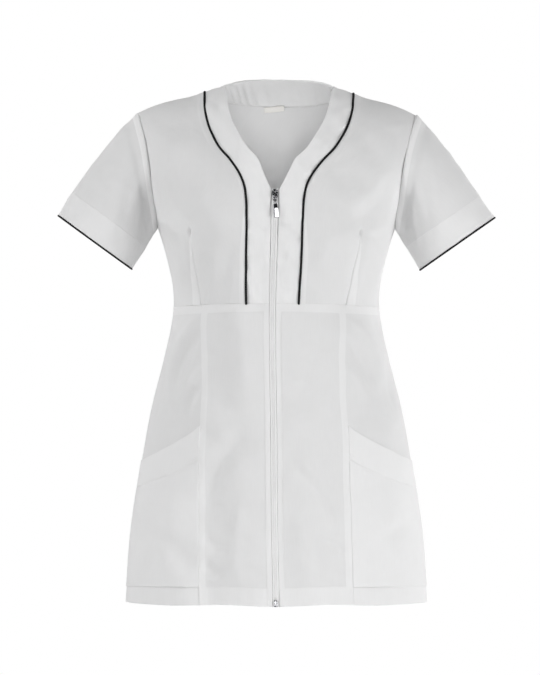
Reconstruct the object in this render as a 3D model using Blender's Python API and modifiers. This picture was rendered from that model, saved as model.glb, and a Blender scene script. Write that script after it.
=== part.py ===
"""A short-sleeved work tunic with a zip front, filled out as it is when worn, with no wearer.

Metres, +Z up. The front faces -Y and the wearer's left is +X. The origin lies midway between
the shoulders, at the height where the outer edge of the neck band crosses them.

Each piece of cloth is a sheet of points on the garment's outer surface, given a wall with
Solidify. A point of the body is found from where it shows from the front, x and z: the body's
half width, depths and shoulder line then give its y.
"""

import math
from collections import namedtuple

import bmesh
import bpy
import numpy as np

COLLECTION = "work_tunic"
CUTTERS = "joined_shapes"

# Cloth
WALL = 0.0012
SEAM_GAP = 0.0003
SHOULDER_GAP = 0.0012
LAID_ON = 0.0006

# The body's sections. Above the underarm the half width is that of a body that goes on into the
# sleeve, and the armhole cuts it.
Section = namedtuple("Section", "z half_width front back")
BODY = [
    Section(-0.744, 0.2190, 0.140, 0.146),
    Section(-0.632, 0.2105, 0.133, 0.145),
    Section(-0.534, 0.1955, 0.126, 0.138),
    Section(-0.458, 0.1815, 0.119, 0.122),
    Section(-0.389, 0.1640, 0.112, 0.104),
    Section(-0.340, 0.1530, 0.108, 0.093),
    Section(-0.310, 0.1488, 0.108, 0.090),
    Section(-0.273, 0.1515, 0.116, 0.093),
    Section(-0.249, 0.1570, 0.121, 0.097),
    Section(-0.226, 0.1630, 0.125, 0.101),
    Section(-0.197, 0.1720, 0.128, 0.106),
    Section(-0.150, 0.1890, 0.130, 0.110),
    Section(-0.110, 0.2090, 0.130, 0.112),
    Section(-0.070, 0.2240, 0.130, 0.112),
    Section(0.000, 0.2400, 0.130, 0.112),
    Section(0.060, 0.2500, 0.130, 0.112),
]
SECTION_FULLNESS = 2.3
SECTION_ROUNDNESS = 0.5

# The shoulder line, seen from the front. Nearer the middle than the neck band it is only where
# the shoulder would go on to, which shapes the back of the neck.
Ridge = namedtuple("Ridge", "x z")
SHOULDER = [
    Ridge(-0.030, 0.045),
    Ridge(0.000, 0.050),
    Ridge(0.030, 0.045),
    Ridge(0.055, 0.028),
    Ridge(0.078, 0.0088),
    Ridge(0.095, 0.0038),
    Ridge(0.108, -0.0012),
    Ridge(0.130, -0.0085),
    Ridge(0.148, -0.0125),
    Ridge(0.165, -0.0170),
    Ridge(0.182, -0.0230),
    Ridge(0.201, -0.0320),
    Ridge(0.225, -0.0460),
]
SHOULDER_Y = 0.008
SHOULDER_POWER = 2.0
SHOULDER_ROUNDNESS = 1 / 1.5
CHEST_Z = -0.197
BLADE_Z = -0.150

# Fullness of the bust on each side
BUST_X = 0.095
BUST_Z = -0.205
BUST_RISE = 0.012
BUST_WIDE = 0.050
BUST_HIGH = 0.055
BUST_FADE = 4

# How unevenly the garment hangs: its middle leans to one side, and its left shoulder is lower.
Line = namedtuple("Line", "z x")
MIDDLE_LINE = [
    Line(-0.744, -0.0005),
    Line(-0.620, -0.0028),
    Line(-0.480, -0.0040),
    Line(-0.380, -0.0055),
    Line(-0.309, -0.0057),
    Line(-0.200, -0.0029),
    Line(-0.150, -0.0020),
    Line(-0.075, 0.0010),
    Line(-0.004, 0.0038),
    Line(0.030, 0.0046),
]
LEAN_FADE = 4
TILT = 0.011
TILT_FROM_Z = -0.300
TILT_FULL_Z = -0.050

# Seam lines, seen from the front
PIPING_LINE = [
    Line(-0.310, 0.0377),
    Line(-0.242, 0.0399),
    Line(-0.181, 0.0406),
    Line(-0.154, 0.0420),
    Line(-0.136, 0.0452),
    Line(-0.119, 0.0530),
    Line(-0.100, 0.0667),
    Line(-0.081, 0.0834),
    Line(-0.067, 0.0920),
    Line(-0.051, 0.1000),
    Line(-0.026, 0.1065),
    Line(-0.001, 0.1080),
]
NECK_LINE = [
    Line(-0.310, 0.0048),
    Line(-0.230, 0.0054),
    Line(-0.160, 0.0061),
    Line(-0.142, 0.0063),
    Line(-0.132, 0.0110),
    Line(-0.116, 0.0185),
    Line(-0.097, 0.0275),
    Line(-0.081, 0.0430),
    Line(-0.061, 0.0555),
    Line(-0.042, 0.0660),
    Line(-0.023, 0.0718),
    Line(-0.005, 0.0754),
    Line(0.0088, 0.0780),
]
ARMHOLE_LINE = [
    Line(-0.197, 0.1720),
    Line(-0.176, 0.1747),
    Line(-0.144, 0.1795),
    Line(-0.113, 0.1835),
    Line(-0.076, 0.1895),
    Line(-0.032, 0.2010),
]
PRINCESS_LINE = [
    Line(-0.744, 0.1122),
    Line(-0.620, 0.1105),
    Line(-0.505, 0.1088),
    Line(-0.440, 0.1058),
    Line(-0.307, 0.1045),
]
ZIP_EDGE = 0.0048
BAND_BEND_Z = -0.160
UNDERARM_Z = -0.197
SHOULDER_TIP_X = 0.201
NECK_SEAM_X = 0.108
NECK_EDGE_X = 0.078
EMPIRE_Z = -0.3065
EMPIRE_DROP = 0.0055
HEM_Z = -0.744
HEM_RISE = 0.005
HEM_CORNER_X = 0.219
HEM_POWER = 4
BACK_NECK_SEAM_Z = -0.019
BACK_NECK_SEAM_POWER = 2.5
BACK_NECK_EDGE_Z = 0.019
BACK_NECK_EDGE_POWER = 4.5

# Pockets, from the long front seam to the side seam
POCKET_TOP_Z = -0.483
POCKET_SIDE_Z = -0.534
POCKET_FOOT_Z = -0.716
POCKET_CURVE = 0.8

# Sleeves. The cuff's oval is given by its two ends, seen from the front, and its half depth.
CUFF_INNER = (0.208, -0.257)
CUFF_OUTER = (0.316, -0.180)
CUFF_HALF_DEPTH = 0.048
CUFF_WIDTH = 0.038
SLEEVE_CROWN = 0.045
SLEEVE_SIDE = 0.026

# Piping
PIPING_RADIUS = 0.0013

# Zip. Heights above or below are measured out from the cloth's outer surface.
COIL_HALF_WIDTH = 0.0022
COIL_TOP = -0.0003
COIL_THICKNESS = 0.0020
COIL_SHORTEST_STEP = 0.0020
TAPE_INNER_X = 0.0026
TAPE_OUTER_X = 0.0140
TAPE_DEPTH = -0.0018
TAPE_THICKNESS = 0.0010
SLIDER_Z = -0.1515
SLIDER_SIZE = (0.0090, 0.0027, 0.0190)
SLIDER_TAPER = 0.68
SLIDER_FRONT = 0.0016
SLIDER_EDGE = 0.0006
BRIDGE_RADIUS = 0.0007
BRIDGE_RISE = 0.0049
BRIDGE_REACH = 0.0065
BRIDGE_MIDDLE = -0.0010
BRIDGE_SUNK = 0.0008
BRIDGE_FOOT_TURN = math.radians(8)
BRIDGE_STEPS = 14
PULL_PIVOT_OUT = 0.0027
PULL_PIVOT_UP = -0.0024
PULL_THICKNESS = 0.0012
PULL_BAR = 0.0012
PULL_EYE_LENGTH = 0.0135
PULL_EYE_HALF_WIDTH = 0.0016
PULL_NECK_HALF_WIDTH = 0.0027
PULL_HALF_WIDTH = 0.0034
PULL_LENGTH = 0.0305
BOX_SIZE = (0.0060, 0.0026, 0.0100)
BOX_OUT = 0.0002

# Label, inside the back just under the neck band
LABEL_X = -0.0065
LABEL_SIZE = (0.0300, 0.0078)
LABEL_DEPTH = 0.0026
LABEL_THICKNESS = 0.0010

# How closely the rows next to a curved edge follow it
EDGE_HOLD = 8

# How finely each sheet is divided
SKIRT_ROWS = 11
WAIST_ROWS = 5
YOKE_ROWS = 10
NECK_COLUMNS = 6
SHOULDER_COLUMNS = 6
BODICE_COLUMNS = 8
BAND_COLUMNS = 3
SKIRT_COLUMNS = 4
SIDE_COLUMNS = 5
SLEEVE_ROWS = 4
POCKET_ROWS = 7

WHITE_CLOTH = ((0.62, 0.62, 0.63), 0.85, 0.0)
BLACK_PIPING = ((0.012, 0.012, 0.013), 0.55, 0.0)
WHITE_ZIP = ((0.66, 0.66, 0.66), 0.5, 0.0)
CHROME = ((0.75, 0.75, 0.76), 0.18, 1.0)
IVORY_LABEL = ((0.72, 0.70, 0.62), 0.7, 0.0)


def smooth_through(knots, values):
    """A function that runs smoothly through the values at the rising knots."""
    knots = np.array(knots, float)
    values = np.array(values, float)
    slopes = np.gradient(values, knots)

    def at(where):
        where = np.clip(where, knots[0], knots[-1])
        i = np.clip(np.searchsorted(knots, where, side="right") - 1, 0, len(knots) - 2)
        step = knots[i + 1] - knots[i]
        t = (where - knots[i]) / step
        rest = 1 - t
        ends = values[i] * rest**2 * (1 + 2 * t) + values[i + 1] * t**2 * (1 + 2 * rest)
        return ends + step * t * rest * (slopes[i] * rest - slopes[i + 1] * t)

    return at


half_width = smooth_through([s.z for s in BODY], [s.half_width for s in BODY])
front_depth = smooth_through([s.z for s in BODY], [s.front for s in BODY])
back_depth = smooth_through([s.z for s in BODY], [s.back for s in BODY])
shoulder_z = smooth_through([r.x for r in SHOULDER], [r.z for r in SHOULDER])
piping_x = smooth_through([p.z for p in PIPING_LINE], [p.x for p in PIPING_LINE])
neck_x = smooth_through([p.z for p in NECK_LINE], [p.x for p in NECK_LINE])
armhole_x = smooth_through([p.z for p in ARMHOLE_LINE], [p.x for p in ARMHOLE_LINE])
princess_x = smooth_through([p.z for p in PRINCESS_LINE], [p.x for p in PRINCESS_LINE])
middle_x = smooth_through([p.z for p in MIDDLE_LINE], [p.x for p in MIDDLE_LINE])


def empire_z(x):
    return EMPIRE_Z - EMPIRE_DROP * (np.abs(x) / half_width(EMPIRE_Z)) ** 2


def hem_z(x):
    return HEM_Z + HEM_RISE * (np.abs(x) / HEM_CORNER_X) ** HEM_POWER


def back_neck_seam_z(x):
    rise = shoulder_z(NECK_SEAM_X) - BACK_NECK_SEAM_Z
    return BACK_NECK_SEAM_Z + rise * (np.abs(x) / NECK_SEAM_X) ** BACK_NECK_SEAM_POWER


def back_neck_edge_z(x):
    rise = shoulder_z(NECK_EDGE_X) - BACK_NECK_EDGE_Z
    return BACK_NECK_EDGE_Z + rise * (np.abs(x) / NECK_EDGE_X) ** BACK_NECK_EDGE_POWER


def pocket_top_z(x, z):
    """The slanted pocket edge, at the part of the way out to the side seam where x lies."""
    inner = princess_x(z)
    out = np.clip((np.abs(x) - inner) / (half_width(z) - inner), 0, 1)
    return POCKET_TOP_Z + (POCKET_SIDE_Z - POCKET_TOP_Z) * out**POCKET_CURVE


def section(x, z):
    """From 1 in the middle of the body to 0 at its side."""
    reach = np.clip(np.abs(x) / half_width(z), 0, 1)
    return (1 - reach**SECTION_FULLNESS) ** SECTION_ROUNDNESS


def fall(x, z, from_z):
    """From 1 at from_z and below it to 0 on the shoulder line."""
    part = np.clip((z - from_z) / (shoulder_z(np.abs(x)) - from_z), 0, 1)
    return (1 - part**SHOULDER_POWER) ** SHOULDER_ROUNDNESS


def front_y(x, z):
    from_bust = ((np.abs(x) - BUST_X) / BUST_WIDE) ** 2 + ((z - BUST_Z) / BUST_HIGH) ** 2
    reach = np.clip(np.abs(x) / half_width(z), 0, 1)
    bust = BUST_RISE * np.exp(-from_bust) * (1 - reach**BUST_FADE)
    depth = front_depth(z) * section(x, z)
    return SHOULDER_Y - (SHOULDER_Y + depth) * fall(x, z, CHEST_Z) - bust


def back_y(x, z):
    depth = back_depth(z) * section(x, z)
    level = SHOULDER_Y * (z > CHEST_Z)
    return level + (depth - level) * fall(x, z, BLADE_Z)


def on_front(x, z):
    return np.stack([x, front_y(x, z), z], axis=-1)


def on_back(x, z):
    return np.stack([x, back_y(x, z), z], axis=-1)


def settled(points):
    """The points of the even garment where they come to hang. The sides don't lean."""
    x, y, z = np.moveaxis(np.asarray(points, float), -1, 0)
    reach = np.clip(np.abs(x) / half_width(z), 0, 1)
    up = np.clip((z - TILT_FROM_Z) / (TILT_FULL_Z - TILT_FROM_Z), 0, 1)
    tilt = TILT * up**2 * (3 - 2 * up)
    return np.stack([x + middle_x(z) * (1 - reach**LEAN_FADE), y, z - tilt * x], axis=-1)


def closing_in(steps):
    """Even turns of a half circle seen from its side: steps close together at both ends."""
    return (1 - np.cos(np.pi * np.arange(steps + 1) / steps)) / 2


def rising(low, high, steps):
    return low + (high - low) * closing_in(steps)


def turned(inner_x, outer_x, width, columns):
    """x from inner to outer, at even turns round a body of this half width."""
    first = math.asin(min(inner_x / width, 1))
    last = math.asin(min(outer_x / width, 1))
    return width * np.sin(np.linspace(first, last, columns + 1))


def sheet(place, inner, outer, floor_z, ceiling_z, columns):
    """Rows of points from the inner edge to the outer edge, upwards.

    place is on_front or on_back. inner and outer are the (x, z) of each row's two ends. The
    lowest row follows floor_z and the highest ceiling_z, where these are given.
    """
    rows = []
    for i, ((x0, z0), (x1, z1)) in enumerate(zip(inner, outer)):
        x = columns(x0, x1, z1)
        along = (x - x0) / (x1 - x0)
        z = z0 + (z1 - z0) * along
        up = i / (len(inner) - 1)
        for edge_z, share in ((floor_z, 1 - up), (ceiling_z, up)):
            if edge_z is not None:
                straight = edge_z(x[0]) + (edge_z(x[-1]) - edge_z(x[0])) * along
                z = z + (edge_z(x) - straight) * share**EDGE_HOLD
        rows.append(place(x, z))
    return np.array(rows)


def even_columns(count):
    """Columns at even turns round the body, for sheet()."""

    def columns(x0, x1, z1):
        return turned(x0, x1, float(half_width(z1)), count)

    return columns


def inset(points, edge, distance, closed=False):
    """Draws one edge of a sheet in, along the sheet and square to that edge."""
    views = {
        "first_row": points,
        "last_row": points[::-1],
        "first_column": points.swapaxes(0, 1),
        "last_column": points.swapaxes(0, 1)[::-1],
    }
    view = views[edge]
    if closed:
        along = np.roll(view[0], -1, axis=0) - np.roll(view[0], 1, axis=0)
    else:
        along = np.gradient(view[0], axis=0)
    along = along / np.linalg.norm(along, axis=1, keepdims=True)
    inward = view[1] - view[0]
    inward = inward - (inward * along).sum(axis=1, keepdims=True) * along
    view[0] += distance * inward / np.linalg.norm(inward, axis=1, keepdims=True)


def facing(points):
    """The unit direction square to a sheet at each of its points."""
    up = np.gradient(points, axis=0)
    across = np.gradient(points, axis=1)
    normal = np.cross(across, up)
    return normal / np.linalg.norm(normal, axis=-1, keepdims=True)


def mirrored(points):
    """The same sheet on the other side of the garment, still facing out."""
    return (points * (-1, 1, 1))[:, ::-1]


def material(name, look):
    made = bpy.data.materials.new(name)
    made.use_nodes = True
    shader = made.node_tree.nodes["Principled BSDF"]
    colour, roughness, metallic = look
    shader.inputs["Base Color"].default_value = (*colour, 1)
    shader.inputs["Roughness"].default_value = roughness
    shader.inputs["Metallic"].default_value = metallic
    return made


def link(obj, look):
    bpy.data.collections[COLLECTION].objects.link(obj)
    obj.data.materials.append(material(obj.name, look))
    return obj


def cloth(name, points, look=WHITE_CLOTH, wall=WALL, outward=False, closed=False):
    """A sheet of rows and columns of points, settled, with a wall on its inner or outer side."""
    rows, columns = points.shape[:2]
    mesh = bpy.data.meshes.new(name)
    faces = []
    for row in range(0, (rows - 1) * columns, columns):
        for c in range(columns if closed else columns - 1):
            after = (c + 1) % columns
            above = row + columns
            faces.append((row + c, row + after, above + after, above + c))
    mesh.from_pydata(settled(points).reshape(-1, 3).tolist(), [], faces)
    mesh.shade_smooth()
    obj = link(bpy.data.objects.new(name, mesh), look)
    solidify = obj.modifiers.new("wall", "SOLIDIFY")
    solidify.thickness = wall
    solidify.offset = 1 if outward else -1
    solidify.use_even_offset = False
    return obj


def cord(name, points, radius, look, closed=False):
    """A round cord along a list of points."""
    curve = bpy.data.curves.new(name, "CURVE")
    curve.dimensions = "3D"
    curve.bevel_depth = radius
    curve.bevel_resolution = 2
    curve.use_fill_caps = not closed
    spline = curve.splines.new("POLY")
    spline.points.add(len(points) - 1)
    for point, place in zip(spline.points, points):
        point.co = (*place, 1)
    spline.use_cyclic_u = closed
    return link(bpy.data.objects.new(name, curve), look)


def both_sides(base, points, make):
    """The wearer's left piece at +X, and the right one mirrored from it."""
    make(f"{base}_left", points)
    make(f"{base}_right", mirrored(points))


# Shared seam lines, as lists of (x, z) from the bottom up


def skirt_edge(x_at):
    """Down a long seam of the skirt, from the hem up to the under-bust seam."""
    low = float(hem_z(x_at(HEM_Z)))
    high = float(empire_z(x_at(EMPIRE_Z)))
    return [(float(x_at(z)), z) for z in np.linspace(low, high, SKIRT_ROWS + 1)]


def zip_edge_x(_):
    return ZIP_EDGE


def side_seam():
    """From the under-bust seam up to the underarm."""
    bottom = float(empire_z(half_width(EMPIRE_Z)))
    heights = np.linspace(bottom, UNDERARM_Z, WAIST_ROWS + 1)
    return [(float(half_width(z)), z) for z in heights]


def armhole():
    top = float(shoulder_z(SHOULDER_TIP_X))
    return [(float(armhole_x(z)), z) for z in rising(UNDERARM_Z, top, YOKE_ROWS)]


def side_and_armhole():
    return side_seam() + armhole()[1:]


def band_edge(bottom_x, x_at, top_x):
    """A line of the neck band: straight up to the bend, then round to the shoulder."""
    straight = np.linspace(float(empire_z(bottom_x)), BAND_BEND_Z, WAIST_ROWS + 1)
    bent = rising(BAND_BEND_Z, float(shoulder_z(top_x)), YOKE_ROWS)
    return [(float(x_at(z)), float(z)) for z in (*straight, *bent[1:])]


def piping_seam():
    return band_edge(piping_x(EMPIRE_Z), piping_x, NECK_SEAM_X)


def neck_edge():
    return band_edge(ZIP_EDGE, neck_x, NECK_EDGE_X)


def back_neck_columns(edge_x):
    """x along the back of the neck, at even turns of an oval."""
    return edge_x * np.sin(np.linspace(0, math.pi / 2, NECK_COLUMNS + 1))


# Cloth pieces


def make_bodice_fronts():
    points = sheet(
        on_front, piping_seam(), side_and_armhole(), empire_z, shoulder_z, even_columns(BODICE_COLUMNS)
    )
    inset(points, "first_column", PIPING_RADIUS + SEAM_GAP)
    inset(points, "last_column", SEAM_GAP / 2)
    inset(points, "first_row", SEAM_GAP / 2)
    inset(points, "last_row", SHOULDER_GAP / 2)
    both_sides("bodice_front", points, cloth)


def make_neck_bands():
    points = sheet(
        on_front, neck_edge(), piping_seam(), empire_z, shoulder_z, even_columns(BAND_COLUMNS)
    )
    inset(points, "last_column", PIPING_RADIUS + SEAM_GAP)
    inset(points, "first_row", SEAM_GAP / 2)
    inset(points, "last_row", SHOULDER_GAP / 2)
    both_sides("neck_band", points, cloth)


def back_neck_seam():
    x = back_neck_columns(NECK_SEAM_X)
    return on_back(x, back_neck_seam_z(x))


def whole_width(half):
    """A half row from the middle out, joined to its mirror image, from +X to -X."""
    return np.concatenate([half[::-1], half[1:] * (-1, 1, 1)])


def make_back_neck_band():
    seam_x = back_neck_columns(NECK_SEAM_X)
    edge_x = back_neck_columns(NECK_EDGE_X)
    between_x = (seam_x + edge_x) / 2
    between_z = (back_neck_seam_z(seam_x) + back_neck_edge_z(edge_x)) / 2
    between = on_back(between_x, np.minimum(between_z, shoulder_z(between_x)))
    edge = on_back(edge_x, back_neck_edge_z(edge_x))
    points = np.array([whole_width(row) for row in (back_neck_seam(), between, edge)])
    inset(points, "first_row", PIPING_RADIUS + SEAM_GAP)
    inset(points, "first_column", SHOULDER_GAP / 2)
    inset(points, "last_column", SHOULDER_GAP / 2)
    cloth("neck_band_back", points)


def back_columns(x0, x1, z1):
    """Columns of the back: those of the neck seam first, and then the shoulder's."""
    tip_width = float(half_width(shoulder_z(SHOULDER_TIP_X)))
    neck_turns = np.arcsin(back_neck_columns(NECK_SEAM_X) / tip_width)
    tip_turn = math.asin(SHOULDER_TIP_X / tip_width)
    shoulder_turns = np.linspace(neck_turns[-1], tip_turn, SHOULDER_COLUMNS + 1)[1:]
    share = np.concatenate([neck_turns, shoulder_turns]) / tip_turn
    width = float(half_width(z1))
    return width * np.sin(share * math.asin(min(x1 / width, 1)))


def back_top_z(x):
    return np.where(x < NECK_SEAM_X, back_neck_seam_z(x), shoulder_z(x))


def make_back():
    outer = skirt_edge(half_width) + side_and_armhole()[1:]
    low = np.linspace(float(hem_z(0)), float(empire_z(0)), SKIRT_ROWS + 1)
    middle = np.linspace(float(empire_z(0)), UNDERARM_Z, WAIST_ROWS + 1)[1:]
    high = np.linspace(UNDERARM_Z, BACK_NECK_SEAM_Z, YOKE_ROWS + 1)[1:]
    inner = [(0.0, float(z)) for z in (*low, *middle, *high)]
    half = sheet(on_back, inner, outer, hem_z, back_top_z, back_columns)
    below_neck = half[:, : NECK_COLUMNS + 1].copy()
    inset(below_neck, "last_row", PIPING_RADIUS + SEAM_GAP)
    below_shoulder = half[:, NECK_COLUMNS:].copy()
    inset(below_shoulder, "last_row", SHOULDER_GAP / 2)
    inset(below_shoulder, "last_column", SEAM_GAP / 2)
    half = np.concatenate([below_neck, below_shoulder[:, 1:]], axis=1)
    cloth("back", np.array([whole_width(row) for row in half]))


def in_the_wall(line, y_at):
    """A line on the front or the back, moved in to the middle of the cloth's wall."""
    step = 1e-4
    x = line[:, 0]
    z = line[:, 2]
    slope_x = (y_at(x + step, z) - y_at(x - step, z)) / (2 * step)
    slope_z = (y_at(x, z) - y_at(x, z - step)) / step
    inward = np.stack([-slope_x, np.ones(len(x)), -slope_z], axis=-1)
    inward *= 1 if y_at is front_y else -1
    return line + WALL / 2 * inward / np.linalg.norm(inward, axis=1, keepdims=True)


def shortened(line, distance):
    """A line whose last point is drawn back."""
    back = line[-2] - line[-1]
    return np.concatenate([line[:-1], [line[-1] + distance * back / np.linalg.norm(back)]])


def make_piping():
    seam = np.array(piping_seam())
    front = shortened(in_the_wall(on_front(seam[:, 0], seam[:, 1]), front_y), SHOULDER_GAP / 2)
    half = shortened(in_the_wall(back_neck_seam(), back_y), SHOULDER_GAP / 2)
    cord("piping_back", settled(whole_width(half)), PIPING_RADIUS, BLACK_PIPING)

    def make(name, points):
        cord(name, settled(points[0]), PIPING_RADIUS, BLACK_PIPING)

    both_sides("piping_front", front[None], make)


# Skirt and pockets


def make_skirt_fronts():
    points = sheet(
        on_front,
        skirt_edge(zip_edge_x),
        skirt_edge(princess_x),
        hem_z,
        empire_z,
        even_columns(SKIRT_COLUMNS),
    )
    inset(points, "last_column", SEAM_GAP / 2)
    inset(points, "last_row", SEAM_GAP / 2)
    both_sides("skirt_front", points, cloth)


def make_side_fronts():
    points = sheet(
        on_front,
        skirt_edge(princess_x),
        skirt_edge(half_width),
        hem_z,
        empire_z,
        even_columns(SIDE_COLUMNS),
    )
    for edge in ("first_column", "last_column", "last_row"):
        inset(points, edge, SEAM_GAP / 2)
    both_sides("side_front", points, cloth)


def pocket_edge(x_at, top_z):
    heights = np.linspace(POCKET_FOOT_Z, top_z, POCKET_ROWS + 1)
    return [(float(x_at(z)), z) for z in heights]


def make_pockets():
    inner = pocket_edge(princess_x, POCKET_TOP_Z)
    outer = pocket_edge(half_width, POCKET_SIDE_Z)

    def top_z(x):
        return pocket_top_z(x, POCKET_SIDE_Z)

    points = sheet(on_front, inner, outer, None, top_z, even_columns(SIDE_COLUMNS))
    points = points + LAID_ON * facing(points)
    for edge in ("first_column", "last_column"):
        inset(points, edge, SEAM_GAP / 2)

    def make(name, rows):
        cloth(name, rows, outward=True)

    both_sides("pocket", points, make)


# Sleeves


def armhole_ring():
    """Round the armhole from the underarm, up the front, over the shoulder and down the back."""
    line = np.array(armhole())
    front = on_front(line[:, 0], line[:, 1])
    back = on_back(line[:, 0], line[:, 1])
    return np.concatenate([front, back[-2:0:-1]])


def cuff_ring():
    """Round the sleeve's hem, its points in step with those of the armhole."""
    turn = np.arange(2 * YOKE_ROWS) * math.pi / YOKE_ROWS
    inner = np.array((CUFF_INNER[0], 0, CUFF_INNER[1]))
    outer = np.array((CUFF_OUTER[0], 0, CUFF_OUTER[1]))
    up = (1 - np.cos(turn))[:, None] / 2
    front = np.sin(turn)[:, None] * (0, -CUFF_HALF_DEPTH, 0)
    return inner + (outer - inner) * up + front


def sleeve_ring(part):
    """The ring of the sleeve at a part of the way down, from 0 at the armhole to 1 at the hem.

    part may differ from point to point of the ring.
    """
    armhole_points = armhole_ring()
    cuff_points = cuff_ring()
    turn = np.arange(len(armhole_points)) * math.pi / YOKE_ROWS
    rise = np.array((CUFF_OUTER[0] - CUFF_INNER[0], 0, CUFF_OUTER[1] - CUFF_INNER[1]))
    rise = rise / np.linalg.norm(rise)
    crown = SLEEVE_CROWN * np.clip(-np.cos(turn), 0, 1)[:, None] * rise
    sides = SLEEVE_SIDE * np.sin(turn)[:, None] * (0, -1, 0)
    part = np.broadcast_to(part, turn.shape)[:, None]
    return armhole_points + (cuff_points - armhole_points) * part + (crown + sides) * part * (1 - part) ** 2


def cuff_seam_part():
    """Where the cuff's upper seam lies, as a part of the way down at each point of the ring."""
    length = np.linalg.norm(cuff_ring() - armhole_ring(), axis=1)
    return 1 - CUFF_WIDTH / length


def make_sleeves():
    seam = cuff_seam_part()
    rings = [sleeve_ring(seam * part) for part in np.linspace(0, 1, SLEEVE_ROWS + 1)]
    points = np.array(rings)[::-1]
    inset(points, "last_row", SEAM_GAP, closed=True)
    inset(points, "first_row", SEAM_GAP / 2, closed=True)

    def make(name, rows):
        cloth(name, rows, closed=True)

    both_sides("sleeve", points, make)


def make_cuffs():
    seam = cuff_seam_part()
    points = np.array([sleeve_ring(1.0), sleeve_ring(seam)])
    inset(points, "last_row", SEAM_GAP / 2, closed=True)

    def make(name, rows):
        cloth(name, rows, closed=True)

    both_sides("cuff", points, make)


def make_cuff_piping():
    down = sleeve_ring(1.0) - sleeve_ring(cuff_seam_part())
    down = down / np.linalg.norm(down, axis=1, keepdims=True)
    middle = sleeve_ring(1.0).mean(axis=0)
    inward = middle - sleeve_ring(1.0)
    inward = inward / np.linalg.norm(inward, axis=1, keepdims=True)
    line = sleeve_ring(1.0) + down * (PIPING_RADIUS + SEAM_GAP) + inward * WALL / 2

    def make(name, points):
        cord(name, settled(points[0]), PIPING_RADIUS, BLACK_PIPING, closed=True)

    both_sides("cuff_piping", line[None], make)


# Zip


def zip_heights():
    """The rows of the cloth beside the zip, from the hem to the top of the zip."""
    skirt = [z for _, z in skirt_edge(zip_edge_x)]
    band = [z for _, z in neck_edge()[1 : WAIST_ROWS + 1]]
    return np.array(skirt + band)


def zip_strip(inner_x, outer_x, heights, outward):
    x = np.array([inner_x, outer_x])
    points = np.array([on_front(x, np.array([z, z])) for z in heights])
    return points + outward * facing(points)


def make_zip_tapes():
    top = SLIDER_Z + SLIDER_SIZE[2] / 2
    heights = np.append(zip_heights(), top)
    points = zip_strip(TAPE_INNER_X, TAPE_OUTER_X, heights, TAPE_DEPTH)

    def make(name, rows):
        cloth(name, rows, WHITE_ZIP, TAPE_THICKNESS)

    both_sides("zip_tape", points, make)


def make_zip_coil():
    low = hem_z(0) + BOX_SIZE[2] + SEAM_GAP
    high = SLIDER_Z - SLIDER_SIZE[2] / 2 - SEAM_GAP
    inside = [z for z in zip_heights() if low + COIL_SHORTEST_STEP < z < high - COIL_SHORTEST_STEP]
    heights = np.array([low, *inside, high])
    points = zip_strip(-COIL_HALF_WIDTH, COIL_HALF_WIDTH, heights, COIL_TOP)
    cloth("zip_coil", points, WHITE_ZIP, COIL_THICKNESS)


def make_zip_box():
    middle_z = float(hem_z(0)) + BOX_SIZE[2] / 2
    bpy.ops.mesh.primitive_cube_add(size=1)
    obj = bpy.context.object
    obj.name = "zip_box"
    obj.data.name = "zip_box"
    for vertex in obj.data.vertices:
        vertex.co = [c * s for c, s in zip(vertex.co, BOX_SIZE)]
    place_on_front(obj, middle_z, BOX_OUT)
    move_to_collection(obj)
    add_bevel(obj, SLIDER_EDGE)


def slope_at(z):
    """How far the middle of the front slopes, as a turn about X: its top goes back."""
    step = 0.004
    middle = np.zeros(2)
    low, high = front_y(middle, np.array([z - step, z + step]))
    return -math.atan2(high - low, 2 * step)


def place_on_front(obj, z, out):
    """Puts an object on the middle of the front, turned with the cloth there."""
    slope = slope_at(z)
    y = float(front_y(0.0, z))
    obj.rotation_euler = (slope, 0, 0)
    obj.location = (float(middle_x(z)), y - out * math.cos(slope), z - out * math.sin(slope))


def move_to_collection(obj, look=CHROME):
    for holder in list(obj.users_collection):
        holder.objects.unlink(obj)
    link(obj, look)


def add_bevel(obj, width):
    bevel = obj.modifiers.new("rounded", "BEVEL")
    bevel.width = width
    bevel.segments = 2
    return bevel


def meshed(curve_object):
    """The curve object's mesh, welded, in its place."""
    graph = bpy.context.evaluated_depsgraph_get()
    mesh = bpy.data.meshes.new_from_object(curve_object.evaluated_get(graph))
    edit = bmesh.new()
    edit.from_mesh(mesh)
    bmesh.ops.remove_doubles(edit, verts=edit.verts, dist=1e-5)
    edit.to_mesh(mesh)
    edit.free()
    obj = bpy.data.objects.new(curve_object.name + "_mesh", mesh)
    obj.matrix_world = curve_object.matrix_world
    bpy.data.objects.remove(curve_object)
    return obj


def bridge_path():
    """An arch over the slider, both feet inside its plate."""
    turns = np.linspace(-BRIDGE_FOOT_TURN, math.pi + BRIDGE_FOOT_TURN, BRIDGE_STEPS + 1)
    foot = SLIDER_FRONT - BRIDGE_SUNK
    return [
        (0, -foot - (BRIDGE_RISE - foot) * math.sin(t), BRIDGE_MIDDLE + BRIDGE_REACH * math.cos(t))
        for t in turns
    ]


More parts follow.
